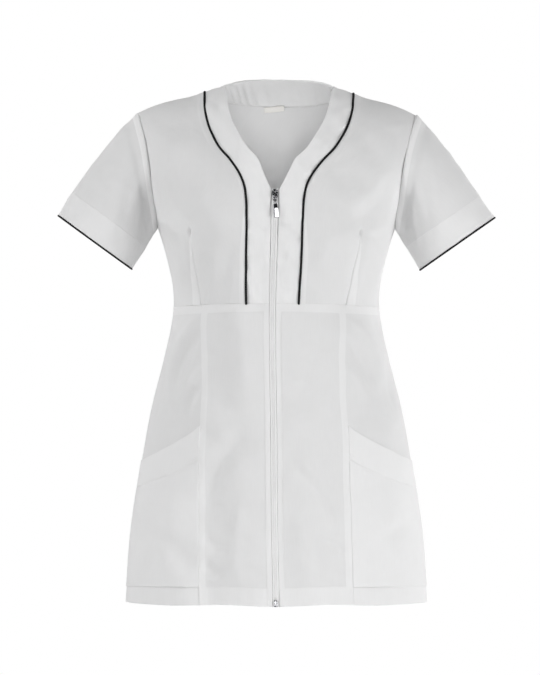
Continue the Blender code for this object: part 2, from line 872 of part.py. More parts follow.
def make_slider(seat):
    bpy.ops.mesh.primitive_cube_add(size=1)
    plate = bpy.context.object
    plate.name = "zip_slider"
    plate.data.name = "zip_slider"
    width, thickness, length = SLIDER_SIZE
    for vertex in plate.data.vertices:
        x, y, z = vertex.co
        taper = SLIDER_TAPER if z < 0 else 1
        vertex.co = (x * width * taper, y * thickness + thickness / 2 - SLIDER_FRONT, z * length)
    move_to_collection(plate)
    add_bevel(plate, SLIDER_EDGE)
    bpy.context.view_layer.update()
    arch = meshed(cord("bridge", bridge_path(), BRIDGE_RADIUS, CHROME))
    bpy.data.collections[CUTTERS].objects.link(arch)
    arch.hide_render = True
    arch.display_type = "WIRE"
    join = plate.modifiers.new("bridge", "BOOLEAN")
    join.operation = "UNION"
    join.object = arch
    plate.parent = seat
    arch.parent = seat


def rounded_corners(half_width_x, low, high, radius, steps=3):
    """A box outline with rounded corners, anticlockwise in X and Z."""
    outline = []
    for corner, (sign_x, z) in enumerate([(1, low), (1, high), (-1, high), (-1, low)]):
        middle_x = sign_x * (half_width_x - radius)
        middle_z = z + radius if z == low else z - radius
        start = math.pi / 2 * (corner - 1)
        for step in range(steps + 1):
            turn = start + math.pi / 2 * step / steps
            outline.append((middle_x + radius * math.cos(turn), middle_z + radius * math.sin(turn)))
    return outline


def make_pull(seat):
    """The pull tab: an eye round the bridge, and a plate below it. Its origin is on its axis."""
    eye_top = -PULL_BAR / 2
    eye_low = eye_top - PULL_EYE_LENGTH
    top = PULL_BAR / 2
    low = top - PULL_LENGTH
    outer = rounded_corners(PULL_HALF_WIDTH, low, top, PULL_BAR / 2)
    narrow = [
        (x * PULL_NECK_HALF_WIDTH / PULL_HALF_WIDTH if z > eye_low else x, z) for x, z in outer
    ]
    eye = rounded_corners(PULL_EYE_HALF_WIDTH, eye_low, eye_top, PULL_BAR / 3)
    curve = bpy.data.curves.new("zip_pull", "CURVE")
    curve.dimensions = "2D"
    curve.fill_mode = "BOTH"
    curve.extrude = PULL_THICKNESS / 2
    for outline in (narrow, eye):
        spline = curve.splines.new("POLY")
        spline.points.add(len(outline) - 1)
        for point, (x, z) in zip(spline.points, outline):
            point.co = (x, z, 0, 1)
        spline.use_cyclic_u = True
    pull = link(bpy.data.objects.new("zip_pull", curve), CHROME)
    pull.parent = seat
    pull.location = (0, -PULL_PIVOT_OUT, PULL_PIVOT_UP)
    pull.rotation_euler = (math.pi / 2, 0, 0)
    return pull


def make_zip_metal():
    """The slider and its pull tab, placed by an empty on the cloth at the top of the zip."""
    seat = bpy.data.objects.new("slider_seat", None)
    bpy.data.collections[COLLECTION].objects.link(seat)
    make_slider(seat)
    make_pull(seat)
    place_on_front(seat, SLIDER_Z, 0)


# Label


def make_label():
    width, height = LABEL_SIZE
    top = BACK_NECK_SEAM_Z - PIPING_RADIUS
    x = np.array([LABEL_X + width / 2, LABEL_X - width / 2])
    points = np.array([on_back(x, np.array([z, z])) for z in (top - height, top)])
    cloth("label", points - LABEL_DEPTH * facing(points), IVORY_LABEL, LABEL_THICKNESS)


def clear_scene():
    for obj in list(bpy.data.objects):
        bpy.data.objects.remove(obj)
    for name in (COLLECTION, CUTTERS):
        made = bpy.data.collections.new(name)
        bpy.context.scene.collection.children.link(made)


def main():
    clear_scene()
    make_back()
    make_bodice_fronts()
    make_neck_bands()
    make_back_neck_band()
    make_piping()
    make_skirt_fronts()
    make_side_fronts()
    make_pockets()
    make_sleeves()
    make_cuffs()
    make_cuff_piping()
    make_zip_tapes()
    make_zip_coil()
    make_zip_box()
    make_zip_metal()
    make_label()


main()
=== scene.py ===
"""The looks of the work tunic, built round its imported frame.

Metres, +Z up, the front at -Y and the wearer's left at +X. Each piece of cloth is laid out on the
even form that it was cut for, as seen from the front, gets its folds, and then settles as it
hangs, with its middle leaning a little and one shoulder lower.
"""

import math
from collections import namedtuple

import bmesh
import bpy
import numpy as np
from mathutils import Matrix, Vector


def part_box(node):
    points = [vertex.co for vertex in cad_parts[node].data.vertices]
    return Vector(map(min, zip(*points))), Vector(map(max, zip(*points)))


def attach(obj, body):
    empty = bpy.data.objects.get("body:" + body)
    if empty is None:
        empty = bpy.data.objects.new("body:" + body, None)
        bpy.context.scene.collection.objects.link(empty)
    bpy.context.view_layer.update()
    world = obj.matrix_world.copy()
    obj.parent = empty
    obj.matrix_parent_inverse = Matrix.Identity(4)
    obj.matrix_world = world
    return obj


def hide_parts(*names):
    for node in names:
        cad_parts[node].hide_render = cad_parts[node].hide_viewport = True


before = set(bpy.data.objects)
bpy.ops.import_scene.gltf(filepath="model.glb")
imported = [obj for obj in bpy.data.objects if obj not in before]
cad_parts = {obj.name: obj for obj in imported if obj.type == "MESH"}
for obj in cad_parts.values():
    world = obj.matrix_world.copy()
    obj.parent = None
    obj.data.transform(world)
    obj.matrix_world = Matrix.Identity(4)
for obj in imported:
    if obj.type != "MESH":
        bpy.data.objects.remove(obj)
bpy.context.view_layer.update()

# The body's sections, as half widths and depths
Section = namedtuple("Section", "z half_width front back")
BODY = [
    Section(-0.744, 0.2190, 0.140, 0.146),
    Section(-0.632, 0.2105, 0.133, 0.145),
    Section(-0.534, 0.1955, 0.126, 0.138),
    Section(-0.458, 0.1815, 0.119, 0.122),
    Section(-0.389, 0.1640, 0.112, 0.104),
    Section(-0.340, 0.1530, 0.108, 0.093),
    Section(-0.310, 0.1488, 0.108, 0.090),
    Section(-0.273, 0.1515, 0.116, 0.093),
    Section(-0.249, 0.1570, 0.121, 0.097),
    Section(-0.226, 0.1630, 0.125, 0.101),
    Section(-0.197, 0.1720, 0.128, 0.106),
    Section(-0.150, 0.1890, 0.130, 0.110),
    Section(-0.110, 0.2090, 0.130, 0.112),
    Section(-0.070, 0.2240, 0.130, 0.112),
    Section(0.000, 0.2400, 0.130, 0.112),
    Section(0.060, 0.2500, 0.130, 0.112),
]
SECTION_FULLNESS = 2.3
SECTION_ROUNDNESS = 0.5

# The shoulder line, seen from the front
Ridge = namedtuple("Ridge", "x z")
SHOULDER = [
    Ridge(-0.030, 0.045),
    Ridge(0.000, 0.050),
    Ridge(0.030, 0.045),
    Ridge(0.055, 0.028),
    Ridge(0.078, 0.0088),
    Ridge(0.095, 0.0038),
    Ridge(0.108, -0.0012),
    Ridge(0.130, -0.0085),
    Ridge(0.148, -0.0125),
    Ridge(0.165, -0.0170),
    Ridge(0.182, -0.0230),
    Ridge(0.201, -0.0320),
    Ridge(0.225, -0.0460),
]
SHOULDER_Y = 0.008
SHOULDER_POWER = 2.0
SHOULDER_ROUNDNESS = 1 / 1.5
CHEST_Z = -0.197
BLADE_Z = -0.150

# Fullness of the bust on each side
BUST_X = 0.095
BUST_Z = -0.205
BUST_RISE = 0.012
BUST_WIDE = 0.050
BUST_HIGH = 0.055
BUST_FADE = 4

# How unevenly the garment hangs
Line = namedtuple("Line", "z x")
MIDDLE_LINE = [
    Line(-0.744, -0.0005),
    Line(-0.620, -0.0028),
    Line(-0.480, -0.0040),
    Line(-0.380, -0.0055),
    Line(-0.309, -0.0057),
    Line(-0.200, -0.0029),
    Line(-0.150, -0.0020),
    Line(-0.075, 0.0010),
    Line(-0.004, 0.0038),
    Line(0.030, 0.0046),
]
LEAN_FADE = 4
TILT = 0.011
TILT_FROM_Z = -0.300
TILT_FULL_Z = -0.050

# Seam lines, seen from the front
PIPING_LINE = [
    Line(-0.310, 0.0377),
    Line(-0.242, 0.0399),
    Line(-0.181, 0.0406),
    Line(-0.154, 0.0420),
    Line(-0.136, 0.0452),
    Line(-0.119, 0.0530),
    Line(-0.100, 0.0667),
    Line(-0.081, 0.0834),
    Line(-0.067, 0.0920),
    Line(-0.051, 0.1000),
    Line(-0.026, 0.1065),
    Line(-0.001, 0.1080),
]
NECK_LINE = [
    Line(-0.310, 0.0048),
    Line(-0.230, 0.0054),
    Line(-0.160, 0.0061),
    Line(-0.142, 0.0063),
    Line(-0.132, 0.0110),
    Line(-0.116, 0.0185),
    Line(-0.097, 0.0275),
    Line(-0.081, 0.0430),
    Line(-0.061, 0.0555),
    Line(-0.042, 0.0660),
    Line(-0.023, 0.0718),
    Line(-0.005, 0.0754),
    Line(0.0088, 0.0780),
]
ARMHOLE_LINE = [
    Line(-0.197, 0.1720),
    Line(-0.176, 0.1747),
    Line(-0.144, 0.1795),
    Line(-0.113, 0.1835),
    Line(-0.076, 0.1895),
    Line(-0.032, 0.2010),
]
PRINCESS_LINE = [
    Line(-0.744, 0.1122),
    Line(-0.620, 0.1105),
    Line(-0.505, 0.1088),
    Line(-0.440, 0.1058),
    Line(-0.307, 0.1045),
]
ZIP_EDGE = 0.0048
BAND_BEND_Z = -0.160
UNDERARM_Z = -0.197
SHOULDER_TIP_X = 0.201
NECK_SEAM_X = 0.108
NECK_EDGE_X = 0.078
EMPIRE_Z = -0.3065
EMPIRE_DROP = 0.0055
HEM_Z = -0.744
HEM_RISE = 0.005
HEM_CORNER_X = 0.219
HEM_POWER = 4
HEM_LIFT = 0.0030
HEM_LIFT_X = 0.082
HEM_LIFT_WIDE = 0.045
BACK_NECK_SEAM_Z = -0.019
BACK_NECK_SEAM_POWER = 2.5
BACK_NECK_EDGE_Z = 0.019
BACK_NECK_EDGE_POWER = 4.5
POCKET_TOP_Z = -0.483
POCKET_SIDE_Z = -0.534
POCKET_FOOT_Z = -0.716
POCKET_CURVE = 0.8
CUFF_INNER = (0.208, -0.257)
CUFF_OUTER = (0.316, -0.180)
CUFF_HALF_DEPTH = 0.048
CUFF_WIDTH = 0.038
SLEEVE_CROWN = 0.045
SLEEVE_SIDE = 0.026
PIPING_RADIUS = 0.0016
SLIDER_Z = -0.1515

# Darts, as lines seen from the front: the bust dart from the under-bust seam up to its tip, and
# the back's waist dart, which is widest at the waist
BUST_DART = [Line(-0.312, 0.1065), Line(-0.2016, 0.1260), Line(-0.030, 0.1560)]
BUST_DART_TIP_Z = -0.2016
BUST_DART_FOLD = 0.010
BACK_DART = [
    Line(-0.744, 0.0960),
    Line(-0.440, 0.0880),
    Line(-0.300, 0.0810),
    Line(-0.170, 0.0830),
    Line(0.0, 0.0860),
]
BACK_DART_TOP_Z = -0.170
BACK_DART_FOOT_Z = -0.440

# Cloth, and how far its layers reach at the seams and hems
CLOTH_WALL = 0.0006
SEAM_GAP = 0.00006
ARMHOLE_GAP = 0.00008
HEM_WIDTH = 0.026
EMPIRE_ALLOWANCE = 0.012
PRINCESS_ALLOWANCE = 0.010
PIPING_ALLOWANCE = 0.0095
ARMHOLE_ALLOWANCE = 0.011
ZIP_FACING = 0.0075
NECK_FACING = 0.028
POCKET_FACING = 0.043
LAYER_RISE = 0.0005
POCKET_LIFT = 0.0009

# An edge seen in section: how far each point is from the edge along the cloth, and how deep it
# lies under the cloth's outer surface. A turned edge goes in at a seam, a folded one comes back
# behind the cloth, and a stitched one also has a row of stitches at its inner border.
Edge = namedtuple("Edge", "inward depth")
TURNED = [
    Edge(0.0, 0.0020),
    Edge(0.0, 0.0005),
    Edge(0.0001, 0.0002),
    Edge(0.0004, 0.00005),
    Edge(0.0010, 0.0),
]
DEEP_TURNED = [
    Edge(0.0, 0.0022),
    Edge(0.0, 0.0004),
    Edge(0.0001, 0.00015),
    Edge(0.0004, 0.00005),
    Edge(0.0011, 0.0),
]
LIGHTLY_TURNED = [
    Edge(0.0, 0.0012),
    Edge(0.0, 0.0002),
    Edge(0.0001, 0.0001),
    Edge(0.0004, 0.0),
    Edge(0.0010, 0.0),
]
# A line within a panel, from before it to after it
LINE = [Edge(at, 0.0) for at in (-0.0030, -0.0017, -0.0010, -0.0005, 0.0, 0.0005, 0.0010, 0.0017, 0.0030)]


def folded(facing, layers_depth=0.0014, stitched=False, rows=4):
    """A folded edge whose facing reaches this far back behind the cloth, in this many rows."""
    edge = [Edge(facing * (rows - row) / rows, layers_depth) for row in range(rows)]
    edge += [
        Edge(0.0006, layers_depth),
        Edge(0.0001, layers_depth * 0.85),
        Edge(0.0, layers_depth * 0.55),
        Edge(0.0001, layers_depth * 0.25),
        Edge(0.0005, layers_depth * 0.06),
        Edge(0.0012, 0.0),
    ]
    if stitched:
        edge += [
            Edge(facing - 0.0016, 0.0),
            Edge(facing - 0.0005, 0.0002),
            Edge(facing, 0.0004),
            Edge(facing + 0.0005, 0.0003),
            Edge(facing + 0.0016, LAYER_RISE),
        ]
    return edge


# Form


def smooth_through(rows, name):
    """A function that runs smoothly through a table's values, by its first column."""
    knots = np.array([row[0] for row in rows], float)
    values = np.array([getattr(row, name) for row in rows], float)
    slopes = np.gradient(values, knots)

    def at(where):
        where = np.clip(where, knots[0], knots[-1])
        i = np.clip(np.searchsorted(knots, where, side="right") - 1, 0, len(knots) - 2)
        step = knots[i + 1] - knots[i]
        t = (where - knots[i]) / step
        rest = 1 - t
        ends = values[i] * rest**2 * (1 + 2 * t) + values[i + 1] * t**2 * (1 + 2 * rest)
        return ends + step * t * rest * (slopes[i] * rest - slopes[i + 1] * t)

    return at


half_width = smooth_through(BODY, "half_width")
front_depth = smooth_through(BODY, "front")
back_depth = smooth_through(BODY, "back")
shoulder_z = smooth_through(SHOULDER, "z")
middle_x = smooth_through(MIDDLE_LINE, "x")
piping_x = smooth_through(PIPING_LINE, "x")
neck_x = smooth_through(NECK_LINE, "x")
armhole_x = smooth_through(ARMHOLE_LINE, "x")
princess_x = smooth_through(PRINCESS_LINE, "x")
bust_dart_x = smooth_through(BUST_DART, "x")
back_dart_x = smooth_through(BACK_DART, "x")


def smooth_step(low, high, value):
    part = np.clip((value - low) / (high - low), 0, 1)
    return part**2 * (3 - 2 * part)


def hump(value, width):
    """1 at 0, and falling off smoothly over the width on both sides."""
    return np.exp(-((value / width) ** 2))


def empire_z(x):
    return EMPIRE_Z - EMPIRE_DROP * (np.abs(x) / half_width(EMPIRE_Z)) ** 2


def hem_z(x):
    lift = HEM_LIFT * hump(np.abs(x) - HEM_LIFT_X, HEM_LIFT_WIDE)
    return HEM_Z + lift + HEM_RISE * (np.abs(x) / HEM_CORNER_X) ** HEM_POWER


def back_neck_seam_z(x):
    rise = shoulder_z(NECK_SEAM_X) - BACK_NECK_SEAM_Z
    return BACK_NECK_SEAM_Z + rise * (np.abs(x) / NECK_SEAM_X) ** BACK_NECK_SEAM_POWER


def back_neck_edge_z(x):
    rise = shoulder_z(NECK_EDGE_X) - BACK_NECK_EDGE_Z
    return BACK_NECK_EDGE_Z + rise * (np.abs(x) / NECK_EDGE_X) ** BACK_NECK_EDGE_POWER


def pocket_top_z(x):
    inner = princess_x(POCKET_SIDE_Z)
    out = np.clip((np.abs(x) - inner) / (half_width(POCKET_SIDE_Z) - inner), 0, 1)
    return POCKET_TOP_Z + (POCKET_SIDE_Z - POCKET_TOP_Z) * out**POCKET_CURVE


def to_side(x, z):
    """From 0 in the middle of the body to 1 at its side."""
    return np.clip(np.abs(x) / half_width(z), 0, 1)


def section(x, z):
    """From 1 in the middle of the body to 0 at its side."""
    return (1 - to_side(x, z) ** SECTION_FULLNESS) ** SECTION_ROUNDNESS


def fall(x, z, from_z):
    """From 1 at from_z and below it to 0 on the shoulder line."""
    part = np.clip((z - from_z) / (shoulder_z(np.abs(x)) - from_z), 0, 1)
    return (1 - part**SHOULDER_POWER) ** SHOULDER_ROUNDNESS


def front_y(x, z):
    bust = BUST_RISE * hump(np.abs(x) - BUST_X, BUST_WIDE) * hump(z - BUST_Z, BUST_HIGH)
    bust = bust * (1 - to_side(x, z) ** BUST_FADE)
    depth = front_depth(z) * section(x, z)
    return SHOULDER_Y - (SHOULDER_Y + depth) * fall(x, z, CHEST_Z) - bust


def back_y(x, z):
    depth = back_depth(z) * section(x, z)
    level = SHOULDER_Y * (z > CHEST_Z)
    return level + (depth - level) * fall(x, z, BLADE_Z)


def settled(points):
    """The points of the even garment where they come to hang. The sides don't lean."""
    x, y, z = np.moveaxis(np.asarray(points, float), -1, 0)
    tilt = TILT * smooth_step(TILT_FROM_Z, TILT_FULL_Z, z)
    return np.stack([x + middle_x(z) * (1 - to_side(x, z) ** LEAN_FADE), y, z - tilt * x], axis=-1)


def unit(vectors):
    return vectors / np.maximum(np.linalg.norm(vectors, axis=-1, keepdims=True), 1e-12)


def on_body(y_at, x, z):
    return np.stack([x, y_at(x, z), z], axis=-1)


def out_of_body(y_at, x, z):
    """The unit direction out of the front or the back."""
    step = 1e-4
    slope_x = (y_at(x + step, z) - y_at(x - step, z)) / (2 * step)
    slope_z = (y_at(x, z + step) - y_at(x, z - step)) / (2 * step)
    normal = np.stack([slope_x, -np.ones_like(x), slope_z], axis=-1)
    return unit(normal if y_at is front_y else -normal)


# Folds, all in the cloth's own sizes


NOISE_SIZE = 64


def soft_noise(u, v, cell, seed):
    """Smooth noise from -1 to 1 that changes over each cell."""
    table = np.random.default_rng(seed).uniform(-1, 1, (NOISE_SIZE, NOISE_SIZE))
    low_u = np.floor(u / cell).astype(int)
    low_v = np.floor(v / cell).astype(int)
    part_u = smooth_step(0, 1, u / cell - low_u)
    part_v = smooth_step(0, 1, v / cell - low_v)
    total = 0
    for step_u, share_u in ((0, 1 - part_u), (1, part_u)):
        for step_v, share_v in ((0, 1 - part_v), (1, part_v)):
            corner = table[(low_u + step_u) % NOISE_SIZE, (low_v + step_v) % NOISE_SIZE]
            total = total + corner * share_u * share_v
    return total


Noise = namedtuple("Noise", "height cell seed")
FRONT_NOISE = [Noise(0.0030, 0.050, 3), Noise(0.0015, 0.026, 4), Noise(0.0003, 0.010, 5)]
BACK_NOISE = [Noise(0.0008, 0.050, 13), Noise(0.0003, 0.018, 14)]
BAND_NOISE = [Noise(0.0011, 0.012, 36)]
BACK_BAND_NOISE = [Noise(0.0005, 0.020, 41), Noise(0.0004, 0.008, 42)]
SLEEVE_NOISE = [Noise(0.0011, 0.032, 80), Noise(0.0005, 0.014, 87)]


def unevenness(table, u, v, side=0):
    """A table's noises together, drawn anew on each side."""
    return sum(row.height * soft_noise(u, v, row.cell, row.seed + side) for row in table)


Fold = namedtuple("Fold", "from_x from_z to_x to_z bend width height")
FRONT_FOLDS = [
    # right bodice, from the armhole towards the bust, and above the bust
    Fold(-0.172, -0.090, -0.095, -0.178, 0.008, 0.017, 0.0030),
    Fold(-0.166, -0.140, -0.118, -0.196, 0.006, 0.012, -0.0029),
    Fold(-0.168, -0.178, -0.132, -0.212, 0.004, 0.009, 0.0023),
    Fold(-0.110, -0.030, -0.075, -0.150, -0.010, 0.018, -0.0019),
    Fold(-0.060, -0.215, -0.070, -0.295, 0.003, 0.010, -0.0017),
    Fold(-0.088, -0.235, -0.092, -0.300, 0.002, 0.008, 0.0013),
    Fold(-0.150, -0.215, -0.138, -0.295, 0.004, 0.009, -0.0017),
    # left bodice
    Fold(0.172, -0.080, 0.100, -0.165, -0.010, 0.018, 0.0032),
    Fold(0.168, -0.128, 0.112, -0.190, -0.006, 0.013, -0.0030),
    Fold(0.168, -0.172, 0.136, -0.206, -0.004, 0.009, 0.0021),
    Fold(0.120, -0.035, 0.082, -0.140, 0.012, 0.018, -0.0021),
    Fold(0.062, -0.200, 0.058, -0.290, 0.004, 0.011, -0.0019),
    Fold(0.150, -0.225, 0.142, -0.300, -0.003, 0.010, 0.0019),
    # right side front, drawn from the long seam down to the side
    Fold(-0.112, -0.330, -0.158, -0.430, 0.008, 0.008, 0.0038),
    Fold(-0.108, -0.352, -0.150, -0.445, 0.006, 0.007, -0.0036),
    Fold(-0.108, -0.392, -0.140, -0.452, 0.004, 0.006, 0.0027),
    Fold(-0.110, -0.425, -0.128, -0.470, 0.003, 0.007, -0.0027),
    Fold(-0.142, -0.318, -0.152, -0.370, 0.003, 0.009, -0.0023),
    # left side front
    Fold(0.106, -0.326, 0.162, -0.418, -0.008, 0.008, 0.0034),
    Fold(0.104, -0.356, 0.146, -0.432, -0.006, 0.008, -0.0034),
    Fold(0.106, -0.398, 0.134, -0.446, -0.004, 0.007, 0.0023),
    Fold(0.136, -0.322, 0.160, -0.366, -0.003, 0.006, -0.0021),
    # skirt fronts: long soft folds above the hips, and slack below them
    Fold(-0.046, -0.316, -0.040, -0.456, 0.002, 0.024, 0.0062),
    Fold(0.040, -0.316, 0.046, -0.456, 0.002, 0.024, -0.0058),
    Fold(-0.104, -0.376, -0.046, -0.394, 0.004, 0.018, -0.0030),
    Fold(0.050, -0.392, 0.102, -0.372, -0.004, 0.018, -0.0030),
    Fold(-0.104, -0.474, -0.015, -0.480, 0.006, 0.018, 0.0027),
    Fold(0.014, -0.478, 0.100, -0.470, -0.006, 0.020, 0.0025),
    Fold(-0.050, -0.500, -0.096, -0.604, 0.010, 0.011, -0.0036),
    Fold(-0.104, -0.640, -0.068, -0.664, 0.006, 0.009, -0.0029),
    Fold(-0.104, -0.682, -0.078, -0.698, 0.003, 0.008, -0.0025),
    Fold(-0.046, -0.580, -0.056, -0.712, 0.004, 0.012, 0.0027),
    Fold(0.022, -0.536, 0.086, -0.632, -0.009, 0.011, -0.0034),
    Fold(0.072, -0.648, 0.102, -0.676, -0.004, 0.009, -0.0025),
    Fold(0.040, -0.590, 0.050, -0.714, 0.005, 0.012, 0.0025),
    # pockets, slack at the mouth and drawn a little towards the foot
    Fold(-0.118, -0.530, -0.172, -0.552, 0.008, 0.012, -0.0023),
    Fold(-0.128, -0.600, -0.160, -0.690, 0.010, 0.016, 0.0019),
    Fold(-0.180, -0.640, -0.120, -0.700, -0.008, 0.014, -0.0019),
    Fold(0.118, -0.528, 0.176, -0.556, -0.008, 0.012, -0.0021),
    Fold(0.126, -0.610, 0.172, -0.688, -0.010, 0.018, 0.0019),
    Fold(0.186, -0.620, 0.134, -0.702, 0.006, 0.014, -0.0017),
    # bands, drawn towards the zip
    Fold(-0.035, -0.241, -0.019, -0.290, 0.002, 0.004, 0.0010),
    Fold(-0.029, -0.250, -0.024, -0.302, -0.001, 0.003, -0.0009),
    Fold(0.029, -0.196, 0.010, -0.213, 0.001, 0.004, 0.0010),
    Fold(0.031, -0.214, 0.012, -0.246, 0.002, 0.004, -0.0009),
    Fold(0.027, -0.283, 0.017, -0.303, 0.001, 0.003, 0.0009),
    Fold(-0.060, -0.060, -0.040, -0.104, 0.003, 0.009, 0.0010),
    Fold(0.066, -0.050, 0.036, -0.098, -0.003, 0.009, -0.0010),
]
BACK_FOLDS = [
    # across the shoulder blades
    Fold(-0.176, -0.100, -0.090, -0.190, 0.012, 0.016, 0.0025),
    Fold(-0.172, -0.150, -0.110, -0.215, 0.008, 0.012, -0.0022),
    Fold(0.176, -0.094, 0.096, -0.176, -0.012, 0.018, 0.0022),
    Fold(0.170, -0.152, 0.104, -0.222, -0.008, 0.012, -0.0024),
    Fold(-0.044, -0.040, -0.030, -0.150, 0.004, 0.015, 0.0036),
    Fold(0.022, -0.048, 0.004, -0.170, 0.004, 0.020, -0.0050),
    Fold(0.060, -0.044, 0.040, -0.160, 0.004, 0.015, 0.0034),
    # slack in the small of the back
    Fold(-0.130, -0.268, -0.050, -0.286, 0.008, 0.007, -0.0025),
    Fold(-0.118, -0.290, -0.030, -0.306, -0.006, 0.007, 0.0025),
    Fold(0.128, -0.262, 0.040, -0.284, 0.006, 0.008, -0.0024),
    Fold(0.110, -0.288, 0.024, -0.300, -0.008, 0.007, 0.0022),
    Fold(-0.060, -0.316, 0.070, -0.326, 0.010, 0.008, -0.0020),
    Fold(0.020, -0.336, 0.100, -0.352, 0.004, 0.009, 0.0016),
    # the skirt falls in flutes
    Fold(-0.130, -0.400, -0.150, -0.735, 0.010, 0.020, 0.0050),
    Fold(-0.092, -0.470, -0.100, -0.742, -0.006, 0.016, -0.0042),
    Fold(-0.046, -0.440, -0.036, -0.742, 0.010, 0.020, 0.0050),
    Fold(0.012, -0.480, 0.018, -0.742, 0.006, 0.017, -0.0045),
    Fold(0.060, -0.430, 0.074, -0.742, -0.008, 0.021, 0.0052),
    Fold(0.118, -0.460, 0.124, -0.742, 0.008, 0.015, -0.0040),
    Fold(0.158, -0.500, 0.170, -0.738, -0.004, 0.016, 0.0037),
]
# On a sleeve, x is the turn from the underarm by way of the front, in metres round the middle of
# the sleeve, and z is the distance down from the armhole.
SLEEVE_FOLDS = {
    1: [
        Fold(0.150, 0.010, 0.070, 0.120, 0.006, 0.013, 0.0030),
        Fold(0.118, 0.006, 0.045, 0.100, 0.008, 0.010, -0.0030),
        Fold(0.082, 0.006, 0.022, 0.070, 0.004, 0.008, 0.0024),
        Fold(0.166, 0.030, 0.150, 0.130, -0.004, 0.012, -0.0018),
        Fold(0.226, 0.012, 0.290, 0.110, 0.008, 0.013, 0.0029),
        Fold(0.262, 0.008, 0.318, 0.090, 0.006, 0.010, -0.0030),
        Fold(0.296, 0.008, 0.340, 0.060, 0.004, 0.008, 0.0023),
    ],
    -1: [
        Fold(0.142, 0.012, 0.078, 0.126, 0.008, 0.014, 0.0027),
        Fold(0.110, 0.006, 0.052, 0.104, 0.006, 0.011, -0.0032),
        Fold(0.078, 0.010, 0.020, 0.066, 0.004, 0.008, 0.0021),
        Fold(0.172, 0.040, 0.158, 0.134, -0.004, 0.012, -0.0019),
        Fold(0.232, 0.014, 0.286, 0.118, 0.006, 0.013, 0.0027),
        Fold(0.268, 0.008, 0.312, 0.086, 0.006, 0.010, -0.0027),
    ],
}


# Where a fold fades in, in shares of its length from its end
FOLD_ENDS = (-0.15, 0.30)


def folds(table, x, z):
    """The height of a table's folds, each fading to nothing at its two ends."""
    total = np.zeros(np.broadcast(x, z).shape)
    for fold in table:
        run = np.array([fold.to_x - fold.from_x, fold.to_z - fold.from_z])
        length = np.linalg.norm(run)
        run = run / length
        along = ((x - fold.from_x) * run[0] + (z - fold.from_z) * run[1]) / length
        aside = (x - fold.from_x) * run[1] - (z - fold.from_z) * run[0]
        aside = aside - fold.bend * 4 * along * (1 - along)
        taper = smooth_step(*FOLD_ENDS, along) * smooth_step(*FOLD_ENDS, 1 - along)
        total = total + fold.height * taper * hump(aside, fold.width)
    return total


# Gathers along a seam: how far they reach from it, their height and their size along it. along
# and edge name the fields of a patch that run along the seam and away from it.
Gather = namedtuple("Gather", "along edge reach height cell seed")
EVEN_SHARE = 0.55


def gathered(p, side, table):
    """A table's gathers on a piece, strongest at their seams and drawn anew on each side."""
    total = 0
    for row in table:
        along = getattr(p, row.along)
        away = getattr(p, row.edge)
        seed = row.seed + side
        varied = (1 - EVEN_SHARE) * soft_noise(along, along * 0, row.cell * 5, seed + 1)
        strength = hump(away, row.reach) * (EVEN_SHARE + varied)
        total = total + row.height * strength * soft_noise(along, away * 0.35, row.cell, seed)
    return total


# Ridges and grooves side by side, such as the waves of the hem
Wave = namedtuple("Wave", "x width height")
HEM_WAVES = [
    Wave(-0.160, 0.030, 0.0040),
    Wave(-0.088, 0.026, -0.0042),
    Wave(-0.030, 0.024, 0.0026),
    Wave(0.044, 0.024, 0.0030),
    Wave(0.096, 0.026, -0.0040),
    Wave(0.166, 0.030, 0.0038),
]


def waves_over(table, x):
    return sum(wave.height * hump(x - wave.x, wave.width) for wave in table)


HIP_LINE_Z = -0.462
HIP_LINE_RISE = 0.050
HIP_REACH_UP = 0.110
HIP_REACH_DOWN = 0.085
HIP_SOFTNESS = 0.13
HIP_DEPTH = 0.0064
FRONT_FOLD_STRENGTH = 1.3
FLUTES_FROM_Z = -0.480
SIDE_FADE = 0.045
SHOULDER_FADE = 0.030

# Where the zip's metal holds the cloth flat
Spot = namedtuple("Spot", "z wide high")
METAL_SPOTS = [Spot(SLIDER_Z, 0.016, 0.030), Spot(HEM_Z, 0.012, 0.020)]


def near_side(x, z):
    """From 1 over the body to 0 at the side seams, where front and back meet."""
    return 1 - smooth_step(1 - SIDE_FADE, 1.0, to_side(x, z))


def below_shoulder(x, z):
    """From 1 on the body to 0 on the shoulder line."""
    return 1 - smooth_step(-SHOULDER_FADE, 0.0, z - shoulder_z(np.abs(x)))


def hip_line(x, z):
    """The front draws in a little above the hips and stands out again below them."""
    line = HIP_LINE_Z + HIP_LINE_RISE * (np.abs(x) / HEM_CORNER_X) ** 2
    above = z - line
    away = np.where(above > 0, above / HIP_REACH_UP, above / HIP_REACH_DOWN)
    return -HIP_DEPTH * np.clip(1 - np.hypot(away, HIP_SOFTNESS), 0, 1) ** 1.5


def off_metal(x, z):
    """From 0 under the slider and round the box to 1 away from them, so that both lie flat."""
    return 1 - np.maximum.reduce([hump(x, spot.wide) * hump(z - spot.z, spot.high) for spot in METAL_SPOTS])


def front_relief(x, z):
    flutes = waves_over(HEM_WAVES, x) * smooth_step(FLUTES_FROM_Z, HEM_Z, z)
    total = FRONT_FOLD_STRENGTH * folds(FRONT_FOLDS, x, z) + unevenness(FRONT_NOISE, x, z) + flutes
    return (total + hip_line(x, z)) * near_side(x, z) * below_shoulder(x, z) * off_metal(x, z)


def back_relief(x, z):
    total = folds(BACK_FOLDS, x, z) + unevenness(BACK_NOISE, x, z)
    return total * near_side(x, z) * below_shoulder(x, z)


